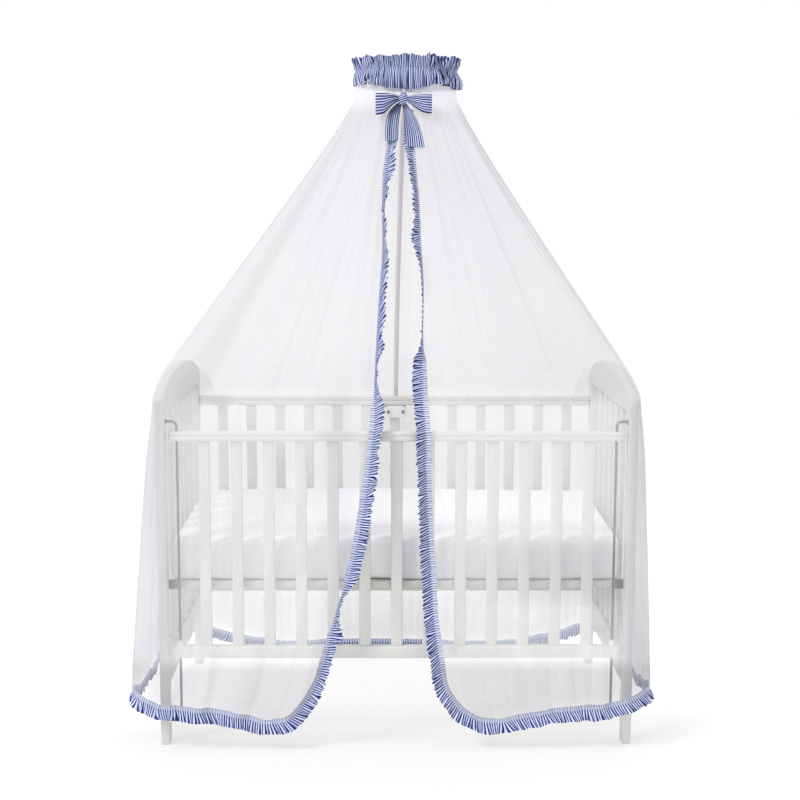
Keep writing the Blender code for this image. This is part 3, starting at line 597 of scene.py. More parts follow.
# %% Sizes of the net
COT_HALF = (0.645, 0.367)         # outer half length and half depth of the cot
NET_OFF = 0.004                   # distance of the net from the wood
RING_CENTRE = (0.031, 0.250)
NET_TOP = (0.1505, 0.1418)        # half width and half depth of the net at the ring
NET_TOP_Z = 1.8695
CONE_TOP_Z = 1.800                # foot of the short upright neck under the heading
RAIL_Z = 0.871                    # height of the bend over the rails
SHOULDER_R = 0.012                # roundness of the bend's corners, and of the hem's
HEM_R = 0.060
HEM_LEFT_X, HEM_RIGHT_X = -0.716, 0.695
HEM_FRONT_Y, HEM_BACK_Y = -0.410, 0.420
SAG = 0.021                       # inward sag of the cone, and its shape down the cone
SAG_SHAPE = 0.6
LEFT_EDGE_X = (-0.060, -0.258)    # x of the opening's edges at the bend and at the hem
RIGHT_EDGE_X = (0.0755, 0.160)
LEFT_EDGE_TURN, RIGHT_EDGE_TURN = 19.0, 5.7       # degrees from the front at the ring
# part of the drop, part of the sweep of the opening's edge
LEFT_SWEEP = ((0.0, 0.0), (0.24, 0.115), (0.49, 0.30), (0.62, 0.47), (0.76, 0.61),
              (0.89, 0.75), (0.96, 0.895), (1.0, 1.0))
RIGHT_SWEEP = ((0.0, 0.0), (0.25, 0.04), (0.53, 0.19), (0.68, 0.28), (0.83, 0.47),
               (0.93, 0.62), (1.0, 1.0))
# part of the way down the cone, x of the left edge, x of the right edge
OPENING_CONE = ((0.0, -0.018, 0.046), (0.17, -0.026, 0.046), (0.31, -0.040, 0.056),
                (0.49, -0.040, 0.067), (0.63, -0.048, 0.073), (0.78, -0.055, 0.068),
                (0.90, -0.058, 0.068), (1.0, -0.060, 0.0755))
# place along each stretch of the hem, its height
HEM_FRONT_LEFT = ((-0.716, 0.150), (-0.679, 0.134), (-0.639, 0.120), (-0.585, 0.1155),
                  (-0.531, 0.110), (-0.478, 0.105), (-0.424, 0.093), (-0.364, 0.0765),
                  (-0.328, 0.0765), (-0.288, 0.0885), (-0.258, 0.1145))
HEM_FRONT_RIGHT = ((0.160, 0.123), (0.180, 0.104), (0.229, 0.079), (0.280, 0.0764),
                   (0.334, 0.0875), (0.402, 0.104), (0.497, 0.113), (0.605, 0.1287),
                   (0.673, 0.152), (0.695, 0.158))
HEM_LEFT = ((-0.35, 0.150), (-0.25, 0.118), (-0.10, 0.098), (0.10, 0.092), (0.36, 0.108))
HEM_BACK = ((-0.656, 0.104), (-0.585, 0.074), (-0.530, 0.060), (-0.480, 0.049), (-0.420, 0.039),
            (-0.350, 0.034), (-0.280, 0.035), (-0.215, 0.040), (-0.100, 0.041), (0.050, 0.039),
            (0.150, 0.035), (0.350, 0.034), (0.455, 0.048), (0.554, 0.073), (0.635, 0.101))
HEM_RIGHT = ((-0.35, 0.158), (-0.22, 0.124), (0.05, 0.096), (0.36, 0.106))
# main folds: place along the bend, half width, lean, depth on the cone, depth at the hem
FOLDS = (
    (0.060, 0.045, 0.00, 0.003, 0.006), (0.110, 0.040, 0.03, 0.012, 0.005),
    (0.260, 0.050, 0.02, 0.004, 0.011), (0.360, 0.045, 0.02, 0.012, 0.005),
    (0.420, 0.045, 0.00, 0.003, 0.013), (0.530, 0.045, 0.00, 0.010, 0.009),
    (0.660, 0.040, 0.00, 0.004, 0.014), (0.750, 0.040, 0.01, 0.006, 0.010),
    (0.850, 0.045, 0.00, 0.005, 0.016), (0.960, 0.045, -0.01, 0.009, 0.011),
    (1.070, 0.045, 0.00, 0.004, 0.015), (1.190, 0.050, 0.00, 0.008, 0.010),
    (1.400, 0.060, 0.00, 0.006, 0.012), (1.550, 0.060, 0.00, 0.004, 0.015),
    (1.720, 0.065, 0.01, 0.005, 0.011), (1.900, 0.065, 0.00, 0.003, 0.009),
    (2.110, 0.065, 0.00, 0.005, 0.014), (2.280, 0.060, 0.01, 0.004, 0.011),
    (2.440, 0.060, 0.00, 0.006, 0.014), (2.690, 0.050, 0.00, 0.006, 0.010),
    (2.810, 0.045, 0.00, 0.004, 0.015), (2.930, 0.045, 0.01, 0.008, 0.010),
    (3.050, 0.045, 0.00, 0.004, 0.014), (3.170, 0.045, 0.00, 0.006, 0.011),
    (3.280, 0.040, 0.00, 0.003, 0.012), (3.400, 0.045, 0.00, 0.009, 0.006),
    (3.480, 0.045, -0.02, 0.003, 0.013), (3.570, 0.045, 0.01, 0.012, 0.005),
    (3.680, 0.045, -0.03, 0.004, 0.012), (3.810, 0.040, -0.02, 0.012, 0.005),
)
# creases placed one by one, narrower than the folds: same columns
CREASES = (
    (0.045, 0.012, 0.02, 0.0035, 0.002), (0.165, 0.014, 0.05, 0.0045, 0.002),
    (0.215, 0.012, 0.03, 0.0035, 0.003), (0.310, 0.014, 0.02, 0.0050, 0.002),
    (0.385, 0.012, 0.00, 0.0030, 0.004), (0.465, 0.014, 0.00, 0.0045, 0.003),
    (0.560, 0.012, 0.00, 0.0030, 0.005), (0.625, 0.014, 0.00, 0.0040, 0.006),
    (0.700, 0.012, 0.01, 0.0030, 0.006), (0.800, 0.014, 0.00, 0.0030, 0.006),
    (0.905, 0.013, 0.00, 0.0040, 0.007), (1.010, 0.013, 0.00, 0.0030, 0.006),
    (1.130, 0.014, 0.00, 0.0035, 0.007), (1.290, 0.015, 0.00, 0.0030, 0.006),
    (1.480, 0.016, 0.00, 0.0030, 0.006), (1.640, 0.015, 0.01, 0.0020, 0.006),
    (2.020, 0.015, 0.00, 0.0020, 0.005), (2.200, 0.016, 0.00, 0.0020, 0.006),
    (2.360, 0.015, 0.00, 0.0030, 0.006), (2.560, 0.014, 0.00, 0.0030, 0.005),
    (2.750, 0.013, 0.00, 0.0030, 0.006), (2.870, 0.013, 0.00, 0.0040, 0.007),
    (2.990, 0.013, 0.00, 0.0030, 0.006), (3.110, 0.013, 0.00, 0.0040, 0.006),
    (3.230, 0.012, 0.00, 0.0030, 0.006), (3.335, 0.013, -0.01, 0.0045, 0.004),
    (3.440, 0.012, 0.01, 0.0035, 0.005), (3.525, 0.013, 0.04, 0.0055, 0.003),
    (3.620, 0.012, -0.05, 0.0040, 0.005), (3.740, 0.013, -0.04, 0.0055, 0.002),
    (3.865, 0.012, -0.01, 0.0035, 0.002),
)
print("folds:", len(FOLDS), "creases:", len(CREASES))


# %% Columns of the net
ARCH_FOOT_Z, ARCH_RISE = 0.955, 0.058
POST_X = 0.625                    # from here outwards the net lies on the corner posts
POLE_ROOM = 0.028                 # the net stands back by this much behind the pole


def arch_z(y):
    """Top edge of a cot end."""
    return ARCH_FOOT_Z + ARCH_RISE * (1 - (min(abs(y), COT_HALF[1]) / COT_HALF[1]) ** 2.6)


def rail_z(x):
    """The net lies along the rail, and climbs onto the posts at its ends."""
    return blend(RAIL_Z, arch_z(COT_HALF[1]) + NET_OFF, smooth((abs(x) - 0.555) / 0.050))


def net_columns(fine):
    """Shoulder point, hem point, outward direction and sweep table of each column."""
    side_x = COT_HALF[0] + NET_OFF
    side_y = COT_HALF[1] + NET_OFF
    arc = (side_x - SHOULDER_R, side_y - SHOULDER_R)
    low = {-1: HEM_LEFT_X + HEM_R, 1: HEM_RIGHT_X - HEM_R}
    near, far = HEM_FRONT_Y + HEM_R, HEM_BACK_Y - HEM_R
    columns = []

    def add(shoulder, hem, out, sweep=None):
        columns.append({"shoulder": Vector(shoulder), "hem": Vector(hem),
                        "out": Vector((*out, 0.0)), "sweep": sweep})

    def front(start, stop, count, edge, post, table, sweep):
        for k in range(count + 1):
            x = blend(start, stop, k / count)
            part = (x - edge[0]) / (post * arc[0] - edge[0])
            hem_x = blend(edge[1], low[post], part)
            add((x, -side_y, rail_z(x)), (hem_x, HEM_FRONT_Y, read_table(table, hem_x)),
                (0, -1), sweep)

    def corner(sx, sy, first, last, table):
        for k in range(3 * fine + 1):
            angle = math.radians(blend(first, last, k / (3 * fine)))
            out = (math.cos(angle), math.sin(angle))
            x, y = sx * arc[0] + out[0] * SHOULDER_R, sy * arc[1] + out[1] * SHOULDER_R
            hem_x = low[sx] + out[0] * HEM_R
            hem_y = (near if sy < 0 else far) + out[1] * HEM_R
            add((x, y, arch_z(y) + NET_OFF), (hem_x, hem_y, read_table(table, hem_x)), out)

    def end(side, start, stop, table, hem_x):
        count = 18 * fine
        for k in range(1, count):
            y = blend(start, stop, k / count)
            hem_y = blend(near, far, (y + arc[1]) / (2 * arc[1]))
            add((side * side_x, y, arch_z(y) + NET_OFF), (hem_x, hem_y, read_table(table, hem_y)),
                (side, 0))

    front(LEFT_EDGE_X[0], -POST_X, 17 * fine, LEFT_EDGE_X, -1, HEM_FRONT_LEFT, LEFT_SWEEP)
    corner(-1, -1, 270, 180, HEM_FRONT_LEFT)
    end(-1, -arc[1], arc[1], HEM_LEFT, HEM_LEFT_X)
    corner(-1, 1, 180, 90, HEM_BACK)
    count = 25 * fine
    for k in range(1, count):
        x = blend(-arc[0], arc[0], k / count)
        hem_x = blend(low[-1], low[1], k / count)
        bulge = POLE_ROOM * math.exp(-((x - 0.003) / 0.10) ** 2)
        add((x, side_y + bulge, rail_z(x)), (hem_x, HEM_BACK_Y, read_table(HEM_BACK, hem_x)),
            (0, 1))
    corner(1, 1, 90, 0, HEM_BACK)
    end(1, arc[1], -arc[1], HEM_RIGHT, HEM_RIGHT_X)
    corner(1, -1, 360, 270, HEM_FRONT_RIGHT)
    front(POST_X, RIGHT_EDGE_X[0], 17 * fine, RIGHT_EDGE_X, 1, HEM_FRONT_RIGHT, RIGHT_SWEEP)

    along = 0.0
    for before, column in zip([columns[0], *columns], columns):
        step = column["shoulder"] - before["shoulder"]
        along += math.hypot(step.x, step.y)
        column["along"] = along
    for column in columns:
        column["turn"] = blend(LEFT_EDGE_TURN, 360 - RIGHT_EDGE_TURN, column["along"] / along)
    return columns


FINE = 4
COLUMNS = net_columns(FINE)
WHOLE = COLUMNS[-1]["along"]
print("net columns:", len(COLUMNS), "length of the bend:", round(WHOLE, 3), "m")

# %% [markdown]
# ## Folds and creases
#
# Folds come from three sources. The broad ones are in the imported solid too, at the same places.
# The narrow creases were read from the photograph and placed one by one, each with its
# lean. Last comes a fine restless ripple, a noise that is stretched down the cloth, because cloth
# under its own weight creases along its fall and hardly ever across it.


# %% Folds and creases
def push(table, along, lean, row):
    """Outward push of a table of folds. row 3 is its depth on the cone, 4 its depth below."""
    total = 0.0
    for fold in table:
        away = (along - fold[0] - fold[2] * lean) / fold[1]
        if abs(away) < 3.5:
            total += fold[row] * math.exp(-away * away)
    return total


def ripple(along, down, scale=1.0):
    """A small restless push, fine along the cloth's width and slow down its length."""
    wide = noise.noise(Vector((along * 17.0, down * 1.3, 4.0)))
    narrow = noise.noise(Vector((along * 46.0 + 9.0, down * 2.1, 11.0)))
    return scale * (0.0042 * wide + 0.0018 * narrow)


def cone_depth(along, part):
    swell = math.sin(math.pi * part)
    near_top = smooth(part / 0.06) * smooth((1 - part) / 0.10)
    return (push(FOLDS, along, 0.0, 3) * swell + push(CREASES, along, part - 0.5, 3)
            * (0.35 + 0.65 * swell) * near_top + ripple(along, part) * near_top)


def hang_depth(along, part):
    return (push(FOLDS, along, part, 4) * smooth(part / 0.8)
            + push(CREASES, along, part + 0.5, 4) * smooth(part / 0.25)
            + ripple(along, 1.0 + part, 1.2) * smooth(part / 0.15))


print("fold depth halfway down the cone at 0.11 m:", round(cone_depth(0.11, 0.5) * 1000, 1), "mm")


# %% Rows of the net
EDGE_REACH = 0.25                 # the opening's curved edge draws the cloth along this far
EDGE_CALM = 0.030                 # the folds fade within this distance of the edge
NEAR = 0.004                      # half the step for the steepness of a fold


def ring_point(turn, half, z):
    """A point on the upright neck of the net, turned in degrees from the front."""
    angle = math.radians(turn)
    return Vector((RING_CENTRE[0] - half[0] * math.sin(angle),
                   RING_CENTRE[1] - half[1] * math.cos(angle), z))


def cone_point(column, part, depth):
    """A point of the cone, part of the way from under the heading to the shoulder."""
    start = ring_point(column["turn"], NET_TOP, CONE_TOP_Z)
    angle = math.radians(column["turn"])
    radial = Vector((-math.sin(angle), -math.cos(angle), 0.0))
    out = radial.lerp(column["out"], part).normalized()
    sag = SAG * smooth((abs(180 - column["turn"]) - 25) / 55)
    inward = sag * math.sin(math.pi * part**SAG_SHAPE)
    point = start.lerp(column["shoulder"], part) + out * (depth - inward)
    for edge, ends, table_column in ((column["along"], COLUMNS[0], 1),
                                     (WHOLE - column["along"], COLUMNS[-1], 2)):
        if edge < EDGE_REACH:
            line = blend(ring_point(ends["turn"], NET_TOP, CONE_TOP_Z).x, ends["shoulder"].x, part)
            shift = read_table(OPENING_CONE, part, table_column) - line
            point.x += (1 - smooth(edge / EDGE_REACH)) * shift
    return point


def hang_point(column, part, depth):
    """A point of the hanging part, part of the way from the shoulder to the hem."""
    flare = part * (1.35 - 0.35 * part)
    point = column["shoulder"].lerp(column["hem"], flare)
    point.z = blend(column["shoulder"].z, column["hem"].z, part)
    if column["sweep"]:
        part_x = read_table(column["sweep"], part)
        point.x = blend(column["shoulder"].x, column["hem"].x, part_x)
    return point + column["out"] * depth


NECK_ROWS = (NET_TOP_Z, 1.846, 1.823)
CONE_STEPS, HANG_STEPS = 36, 36
net_grid = [[ring_point(c["turn"], NET_TOP, z) for c in COLUMNS] for z in NECK_ROWS]
net_density = [[0.52] * len(COLUMNS)] * len(NECK_ROWS)


def calm_at(column):
    return smooth(min(column["along"], WHOLE - column["along"]) / EDGE_CALM)


def border_thinning(column, part):
    """Along its own edge the net is one even layer, and the frill behind it shows."""
    return min(1.0, 0.58 + 0.42 * calm_at(column), 0.45 + 0.55 * smooth((1 - part) / 0.045))


def steepness(depth_rule, column, part):
    """On the steep side of a fold more threads stand behind each other."""
    rise = (depth_rule(column["along"] + NEAR, part) - depth_rule(column["along"] - NEAR, part))
    return min(abs(rise) / (2 * NEAR), 0.5)


def cone_density(column, part):
    """Densest under the heading, a little denser again above the bend."""
    dense = 0.22 + 0.23 * (1 - part) ** 3 + 0.05 * smooth((part - 0.7) / 0.3)
    dense += 0.22 * steepness(cone_depth, column, part)
    return dense * border_thinning(column, 0.0)


def hang_density(column, part):
    """Denser towards the hem, on the ends of the cot and at the back."""
    aside = smooth((abs(column["shoulder"].x) - 0.60) / 0.04)
    rear = smooth((column["shoulder"].y - 0.2) / 0.1)
    thick = max(smooth((part - 0.72) / 0.10), aside, 0.6 * rear)
    dense = 0.23 + 0.04 * (1 - smooth(part / 0.12)) + 0.19 * thick
    dense += (0.14 + 0.08 * thick) * steepness(hang_depth, column, part)
    return dense * border_thinning(column, part)


def add_rows(parts, place_rule, depth_rule, density_rule):
    """Adds a row of points and a row of densities for each part of the way down."""
    for part in parts:
        net_grid.append([place_rule(c, part, depth_rule(c["along"], part) * calm_at(c))
                         for c in COLUMNS])
        net_density.append([density_rule(c, part) for c in COLUMNS])


add_rows([k / CONE_STEPS for k in range(CONE_STEPS + 1)], cone_point, cone_depth, cone_density)
add_rows([k / HANG_STEPS for k in range(1, HANG_STEPS + 1)], hang_point, hang_depth, hang_density)
print("net rows:", len(net_grid))

# %% [markdown]
# ## Making the net
#
# The grid becomes one mesh. Its flat measure is the way along the bend and the way down the
# cloth, so the weave keeps its size everywhere. The density of each point goes along as an
# attribute, for the material to read.


# %% Net
def way_down(grid, column):
    """Length down the cloth at each row of one column."""
    total = [0.0]
    for upper, lower in zip(grid, grid[1:]):
        total.append(total[-1] + (lower[column] - upper[column]).length)
    return total


DOWN = way_down(net_grid, len(COLUMNS) // 5)
net_mesh = grid_mesh("net", net_grid, lambda r, c: (COLUMNS[c]["along"], DOWN[r]))
attribute = net_mesh.attributes.new("milkiness", "FLOAT", "POINT")
attribute.data.foreach_set("value", [d for row in net_density for d in row])
net = fit(link("net_sheer", net_mesh, NET), "net_cloth", "net")
net_area = sum(face.area for face in net_mesh.polygons)
print("net:", len(net_mesh.polygons), "faces, area", round(net_area, 2), "m2")

# %% [markdown]
# ## A tree that ruffles cloth
#
# Frill and heading are strips of cotton, gathered on a thread and let go at their edges. The
# gathers follow one rule, so Geometry Nodes can make them: every point moves along its own
# outward direction by a wave. The wave runs along the strip, its beat wanders, and it grows from
# the thread to the loose edge. A second wave moves the points sideways, so that folds overhang
# and lean. Spacing, depth, overhang, lean, wandering and seed are inputs of the tree.


# %% Ruffle tree
def named(tree, name, kind="FLOAT"):
    return node(tree, "GeometryNodeInputNamedAttribute", {"data_type": kind}, {"Name": name})


def new_tree(name, inputs):
    """A Geometry Nodes tree with named inputs: name, socket type, value."""
    tree = bpy.data.node_groups.new(name, "GeometryNodeTree")
    tree.interface.new_socket("Geometry", in_out="OUTPUT", socket_type="NodeSocketGeometry")
    tree.interface.new_socket("Geometry", in_out="INPUT", socket_type="NodeSocketGeometry")
    for label, kind, value in inputs:
        socket = tree.interface.new_socket(label, in_out="INPUT", socket_type=kind)
        if value is not None:
            socket.default_value = value
    start = tree.nodes.new("NodeGroupInput")
    wires = {s.name: Wire(tree, s) for s in start.outputs if s.name}
    return tree, wires


def close_tree(tree, geometry, material):
    """Ends a tree in Realize Instances and Set Material."""
    real = node(tree, "GeometryNodeRealizeInstances", None, {"Geometry": geometry})
    done = node(tree, "GeometryNodeSetMaterial", None, {"Geometry": real, "Material": material})
    node(tree, "NodeGroupOutput", None, {0: done})


def run_tree(made, tree, values):
    """Applies a tree to an object, with its inputs set by their identifiers."""
    modifier = made.modifiers.new(tree.name, "NODES")
    modifier.node_group = tree
    for item in tree.interface.items_tree:
        if item.item_type == "SOCKET" and item.in_out == "INPUT" and item.name in values:
            modifier[item.identifier] = values[item.name]
    bpy.context.view_layer.update()
    graph = bpy.context.evaluated_depsgraph_get()
    mesh = bpy.data.meshes.new_from_object(made.evaluated_get(graph))
    made.modifiers.clear()
    made.data = mesh
    return made


ruffle, wires = new_tree("ruffle", [
    ("Pitch", "NodeSocketFloat", 0.014), ("Depth", "NodeSocketFloat", 0.005),
    ("Tight", "NodeSocketFloat", 0.0006), ("Overhang", "NodeSocketFloat", 0.6),
    ("Lean", "NodeSocketFloat", 0.010), ("Wander", "NodeSocketFloat", 2.0),
    ("Shade", "NodeSocketFloat", 0.8),
    ("Seed", "NodeSocketFloat", 0.0), ("Material", "NodeSocketMaterial", None)])
along, across = named(ruffle, "along"), named(ruffle, "across")
beat = along / wires["Pitch"]


def wandering(rate, seed):
    """Soft noise along the strip, at a rate for each wave."""
    place = node(ruffle, "ShaderNodeCombineXYZ", None, {"X": beat * rate, "Y": seed})
    return node(ruffle, "ShaderNodeTexNoise", {"noise_dimensions": "2D"},
                {"Vector": place, "Scale": 1.0, "Detail": 1.0})


def moved(direction, length):
    """A move along a direction that is stored at each point."""
    return node(ruffle, "ShaderNodeVectorMath", {"operation": "SCALE"},
                {0: named(ruffle, direction, "FLOAT_VECTOR"), "Scale": length})


slow = wandering(0.42, wires["Seed"])
strength = wandering(0.23, wires["Seed"] + 7.3)
phase = beat * (2 * math.pi) + (slow - 0.5) * wires["Wander"] * 6.0
wave = phase.sin() + (phase * 1.73 + across * 0.8).sin() * 0.35
loose = across.math("ABSOLUTE").math("POWER", 1.15)
depth = loose * wires["Depth"] * (0.45 + strength * 1.1) + wires["Tight"]
aside = (depth * (phase + 0.7).math("COSINE") * wires["Overhang"]
         + (strength - 0.5) * across * wires["Lean"])
offset = node(ruffle, "ShaderNodeVectorMath", {"operation": "ADD"},
              {0: moved("outward", depth * wave), 1: moved("sideways", aside)})
points = node(ruffle, "GeometryNodeSetPosition", None,
              {"Geometry": wires["Geometry"], "Offset": offset})
valley = ((0.0 - wave * (0.35 + loose * 0.65) - 0.5) * wires["Shade"]
          + named(ruffle, "crease"))
stored = node(ruffle, "GeometryNodeStoreNamedAttribute", {"data_type": "FLOAT"},
              {"Geometry": points, "Name": "valley", "Value": valley})
close_tree(ruffle, stored, wires["Material"])
print("ruffle tree:", len(ruffle.nodes), "nodes")


# %% Strips for the ruffle tree
def add_attributes(mesh, points):
    """What the ruffle tree reads at each point: along, across, crease, outward, sideways."""
    for k, name in enumerate(("along", "across", "crease")):
        layer = mesh.attributes.new(name, "FLOAT", "POINT")
        layer.data.foreach_set("value", [point[k] for point in points])
    for k, name in enumerate(("outward", "sideways"), 3):
        layer = mesh.attributes.new(name, "FLOAT_VECTOR", "POINT")
        layer.data.foreach_set("vector", [c for point in points for c in point[k]])


def resampled(frames, step):
    """Frames at even steps along their path: point, away, normal, turn, distance."""
    total = [0.0]
    for a, b in zip(frames, frames[1:]):
        total.append(total[-1] + (b[0] - a[0]).length)
    count = int(total[-1] / step)
    found = []
    k = 0
    for i in range(count + 1):
        target = total[-1] * i / count
        while k < len(total) - 2 and total[k + 1] < target:
            k += 1
        part = (target - total[k]) / max(total[k + 1] - total[k], 1e-9)
        a, b = frames[k], frames[k + 1]
        found.append((a[0].lerp(b[0], part), a[1].lerp(b[1], part).normalized(),
                      a[2].lerp(b[2], part).normalized(), a[3].lerp(b[3], part), target))
    return found


print("strip tools ready")

# %% [markdown]
# ## The edge frill
#
# One strip of striped cotton, about four centimetres wide, is gathered along a thread a third of
# the way in. Its narrow side is sewn behind the net, where it shines through pale, and its wide
# side stands free. Down the opening the strip twists as it hangs: in places it lies open, in
# others it is seen edge-on, and here and there it turns over. Tables read from the photograph
# give the share of the free side that shows and the share of the sewn side, by height.

# %% Edge frill
FRILL_IN, FRILL_OUT = 0.014, 0.028
FRILL_STEP = 0.0018
SEWN_BEHIND = 0.0030              # the strip lies behind the net's edge by this
BEHIND_BOW = (1.660, 1.635)       # above these heights the left and right frill are narrow
NARROWER = (0.72, 0.20)           # share of the width that they lose there
CRUSHED_Z, CRUSHED = (1.09, 1.25), 0.62           # the right one's heights, and share it loses
HEM_TURN = (0.3, 1.0, 1.0)        # along the hem the strip hangs nearly flat and full width
# height, share of the free side that shows; below zero the strip is turned over
LEFT_FREE = ((0.115, 0.95), (0.16, 0.62), (0.21, 0.46), (0.27, 0.52), (0.30, 0.88),
             (0.325, 0.85), (0.345, 0.45), (0.365, 0.20), (0.41, 0.0), (0.44, 0.30),
             (0.47, 0.70), (0.54, 0.78), (0.60, 0.85), (0.66, 0.65), (0.74, 0.78),
             (0.84, 0.60), (0.905, 0.90), (0.932, 0.75), (0.956, 0.30), (0.972, -0.05),
             (0.989, 0.25), (1.007, -0.10), (1.028, -0.05), (1.049, 0.25), (1.077, 0.72),
             (1.098, 0.25), (1.127, 0.45), (1.163, 0.62), (1.193, 0.36), (1.226, 0.50),
             (1.262, 0.42), (1.322, 0.40), (1.353, 0.0), (1.384, 0.05), (1.398, 0.45),
             (1.414, 0.05), (1.431, -0.45), (1.448, -0.25), (1.469, 0.0), (1.492, 0.38),
             (1.518, 0.12), (1.542, 0.65), (1.583, 0.80), (1.604, 0.50), (1.655, 0.90),
             (1.80, 0.95))
RIGHT_FREE = ((0.30, 0.95), (0.55, 0.90), (0.70, 0.80), (0.84, 0.92), (0.951, 0.90),
              (1.007, 0.95), (1.05, 0.85), (1.07, 0.35), (1.09, 0.20), (1.116, 0.0),
              (1.142, 0.22), (1.165, 0.0), (1.20, 0.20), (1.228, 0.05), (1.30, 0.12),
              (1.322, 0.35), (1.365, 0.68), (1.387, 0.82), (1.407, 0.60), (1.445, 0.22),
              (1.47, 0.42), (1.51, 0.18), (1.553, 0.50), (1.585, 0.38), (1.617, 0.60),
              (1.655, 0.70), (1.80, 0.95))
# height, share of the sewn side that shows through the net
LEFT_TUCK = ((0.30, 1.0), (0.35, 0.45), (0.44, 0.45), (0.48, 1.0), (0.91, 1.0), (0.96, 0.35),
             (1.50, 0.35), (1.56, 0.6), (1.80, 0.4))
RIGHT_TUCK = ((0.30, 1.0), (1.04, 1.0), (1.08, 0.35), (1.30, 0.25), (1.56, 0.6), (1.80, 0.4))
FIRST = len(NECK_ROWS) + 2        # the frill starts behind the bow
foot, last = len(net_grid) - 1, len(COLUMNS) - 1


def frill_turn(side, z):
    """Twist of the free side, share of the sewn side and of the width, at a height."""
    free, tuck = ((LEFT_FREE, LEFT_TUCK), (RIGHT_FREE, RIGHT_TUCK))[side]
    share = min(max(read_table(free, z), -1.0), 1.0)
    hidden = smooth((z - BEHIND_BOW[side]) / 0.03)
    wide = 1.0 - NARROWER[side] * hidden
    if side:                      # half way up the right edge it is crushed to a thread
        wide *= 1 - CRUSHED * smooth((z - CRUSHED_Z[0]) / 0.03) * smooth((CRUSHED_Z[1] - z) / 0.04)
    return math.acos(share) * (1 - hidden), read_table(tuck, z) * wide, wide


# a point of the edge, a point further in on the net, how the strip is turned
border = [(net_grid[r][0], net_grid[r][4], frill_turn(0, net_grid[r][0].z))
          for r in range(FIRST, foot)]
border += [(net_grid[foot][c], net_grid[foot - 3][c], HEM_TURN) for c in range(1, last)]
border += [(net_grid[r][last], net_grid[r][last - 4], frill_turn(1, net_grid[r][last].z))
           for r in range(foot - 1, FIRST - 1, -1)]
frames = []
for k, (point, inside, turn) in enumerate(border):
    tangent = (border[min(k + 2, len(border) - 1)][0] - border[max(k - 2, 0)][0]).normalized()
    away = point - inside
    away = (away - tangent * away.dot(tangent)).normalized()
    frames.append((point, away, tangent.cross(away).normalized(), Vector(turn)))
strip = resampled(frames, FRILL_STEP)
# share of the free width of each row; the rows below zero are sewn behind the net
ACROSS = (-0.5, -0.34, -0.16, 0.0, 0.12, 0.26, 0.42, 0.58, 0.74, 0.88, 1.0)
rows, ruffled = [], []
for share in ACROSS:
    row = []
    for point, away, normal, turn, distance in strip:
        angle = turn.x * smooth(share / 0.35)
        free = away * math.cos(angle) + normal * math.sin(angle)
        side = normal * math.cos(angle) - away * math.sin(angle)
        down = away.cross(normal)
        width = FRILL_OUT * turn.z if share > 0 else 2 * FRILL_IN * turn.y
        ragged = (1.0 + 0.16 * noise.noise(Vector((distance * 24.0, 3.0, 0.0)))
                  + 0.06 * noise.noise(Vector((distance * 70.0, 8.0, 0.0))))
        slant = 0.30 + 0.35 * noise.noise(Vector((distance * 9.0, 1.0, 5.0)))
        place = point + free * share * width * ragged - normal * SEWN_BEHIND
        row.append(place - down * slant * share * width * (1 if share > 0 else 0))
        hold = smooth((BEHIND_BOW[0] - point.z) / 0.08)        # smooth behind the bow
        hold *= 0.5 + 0.5 * math.cos(turn.x)                   # and where it is turned over
        pale = -1.75 - 1.45 * smooth((0.22 - point.z) / 0.06) if share < -0.1 else 0.0
        ruffled.append((distance, share * hold, pale, side if share > 0 else normal * 0.35,
                        -down))
    rows.append(row)


def gathered_less(point):
    """True at the back, and high on the left of the opening."""
    return point.y > 0.3 or (point.y < 0 and point.x < 0 and point.z > 0.98)


measured = [0.0]                  # cloth used up to each point of the strip
for before, after in zip(strip, strip[1:]):
    used_share = 0.80 if gathered_less(after[0]) else 1.0
    measured.append(measured[-1] + (after[4] - before[4]) * used_share)


def frill_measure(r, c):
    """The stripes fan out and lean from one gather to the next."""
    share, distance = ACROSS[r], strip[c][4]
    rate, seed = (34.0, 5.0) if share > 0 else (48.0, 9.0)
    fan = 0.012 * share * noise.noise(Vector((distance * rate, seed, 0.0)))
    point, turn = strip[c][0], strip[c][3]
    lean = smooth((point.z - 0.98) / 0.06) if point.x < 0 and point.y < 0 else 0.0
    lean *= 0.30 * FRILL_OUT * abs(math.cos(turn.x)) if share > 0 else 1.2 * FRILL_IN * turn.y
    return measured[c] + fan + lean * share, share * FRILL_OUT


frill_mesh = grid_mesh("edge_frill", rows, frill_measure)
add_attributes(frill_mesh, ruffled)
frill = link("frill_strip", frill_mesh, COTTON_HEM)
run_tree(frill, ruffle, {"Pitch": 0.0165, "Depth": 0.0042, "Tight": 0.0004, "Overhang": 0.35,
                         "Lean": 0.008, "Wander": 2.4, "Shade": 0.7, "Seed": 3.0,
                         "Material": COTTON_HEM})
fit(frill, "striped_cotton", "edge_frill")

# %% [markdown]
# ## The heading
#
# A wider strip of the same cotton is drawn tight round the ring, two fifths below its top edge.
# The part above the thread stands up as a ragged little frill and the part below swells and
# falls over the top of the net. It is the same rule again, on a ring, with wider waves that lean
# more. The deep creases that catch the eye are listed one by one: where each starts and ends, how
# deep it cuts in and how it leans.

# %% Heading
# degrees round the ring from the front by the left, height of the skirt's lower edge
SKIRT_FOOT = ((0, 1.8045), (20, 1.811), (36, 1.822), (60, 1.827), (90, 1.830), (180, 1.824),
              (270, 1.821), (290, 1.814), (305, 1.819), (318, 1.826), (335, 1.818),
              (350, 1.808), (360, 1.8045))
GATHER_Z, BAND_TOP_Z = 1.869, 1.9052
SKIRT_WIDE, TOP_WIDE = 0.058, 0.040               # flat widths below and above the thread
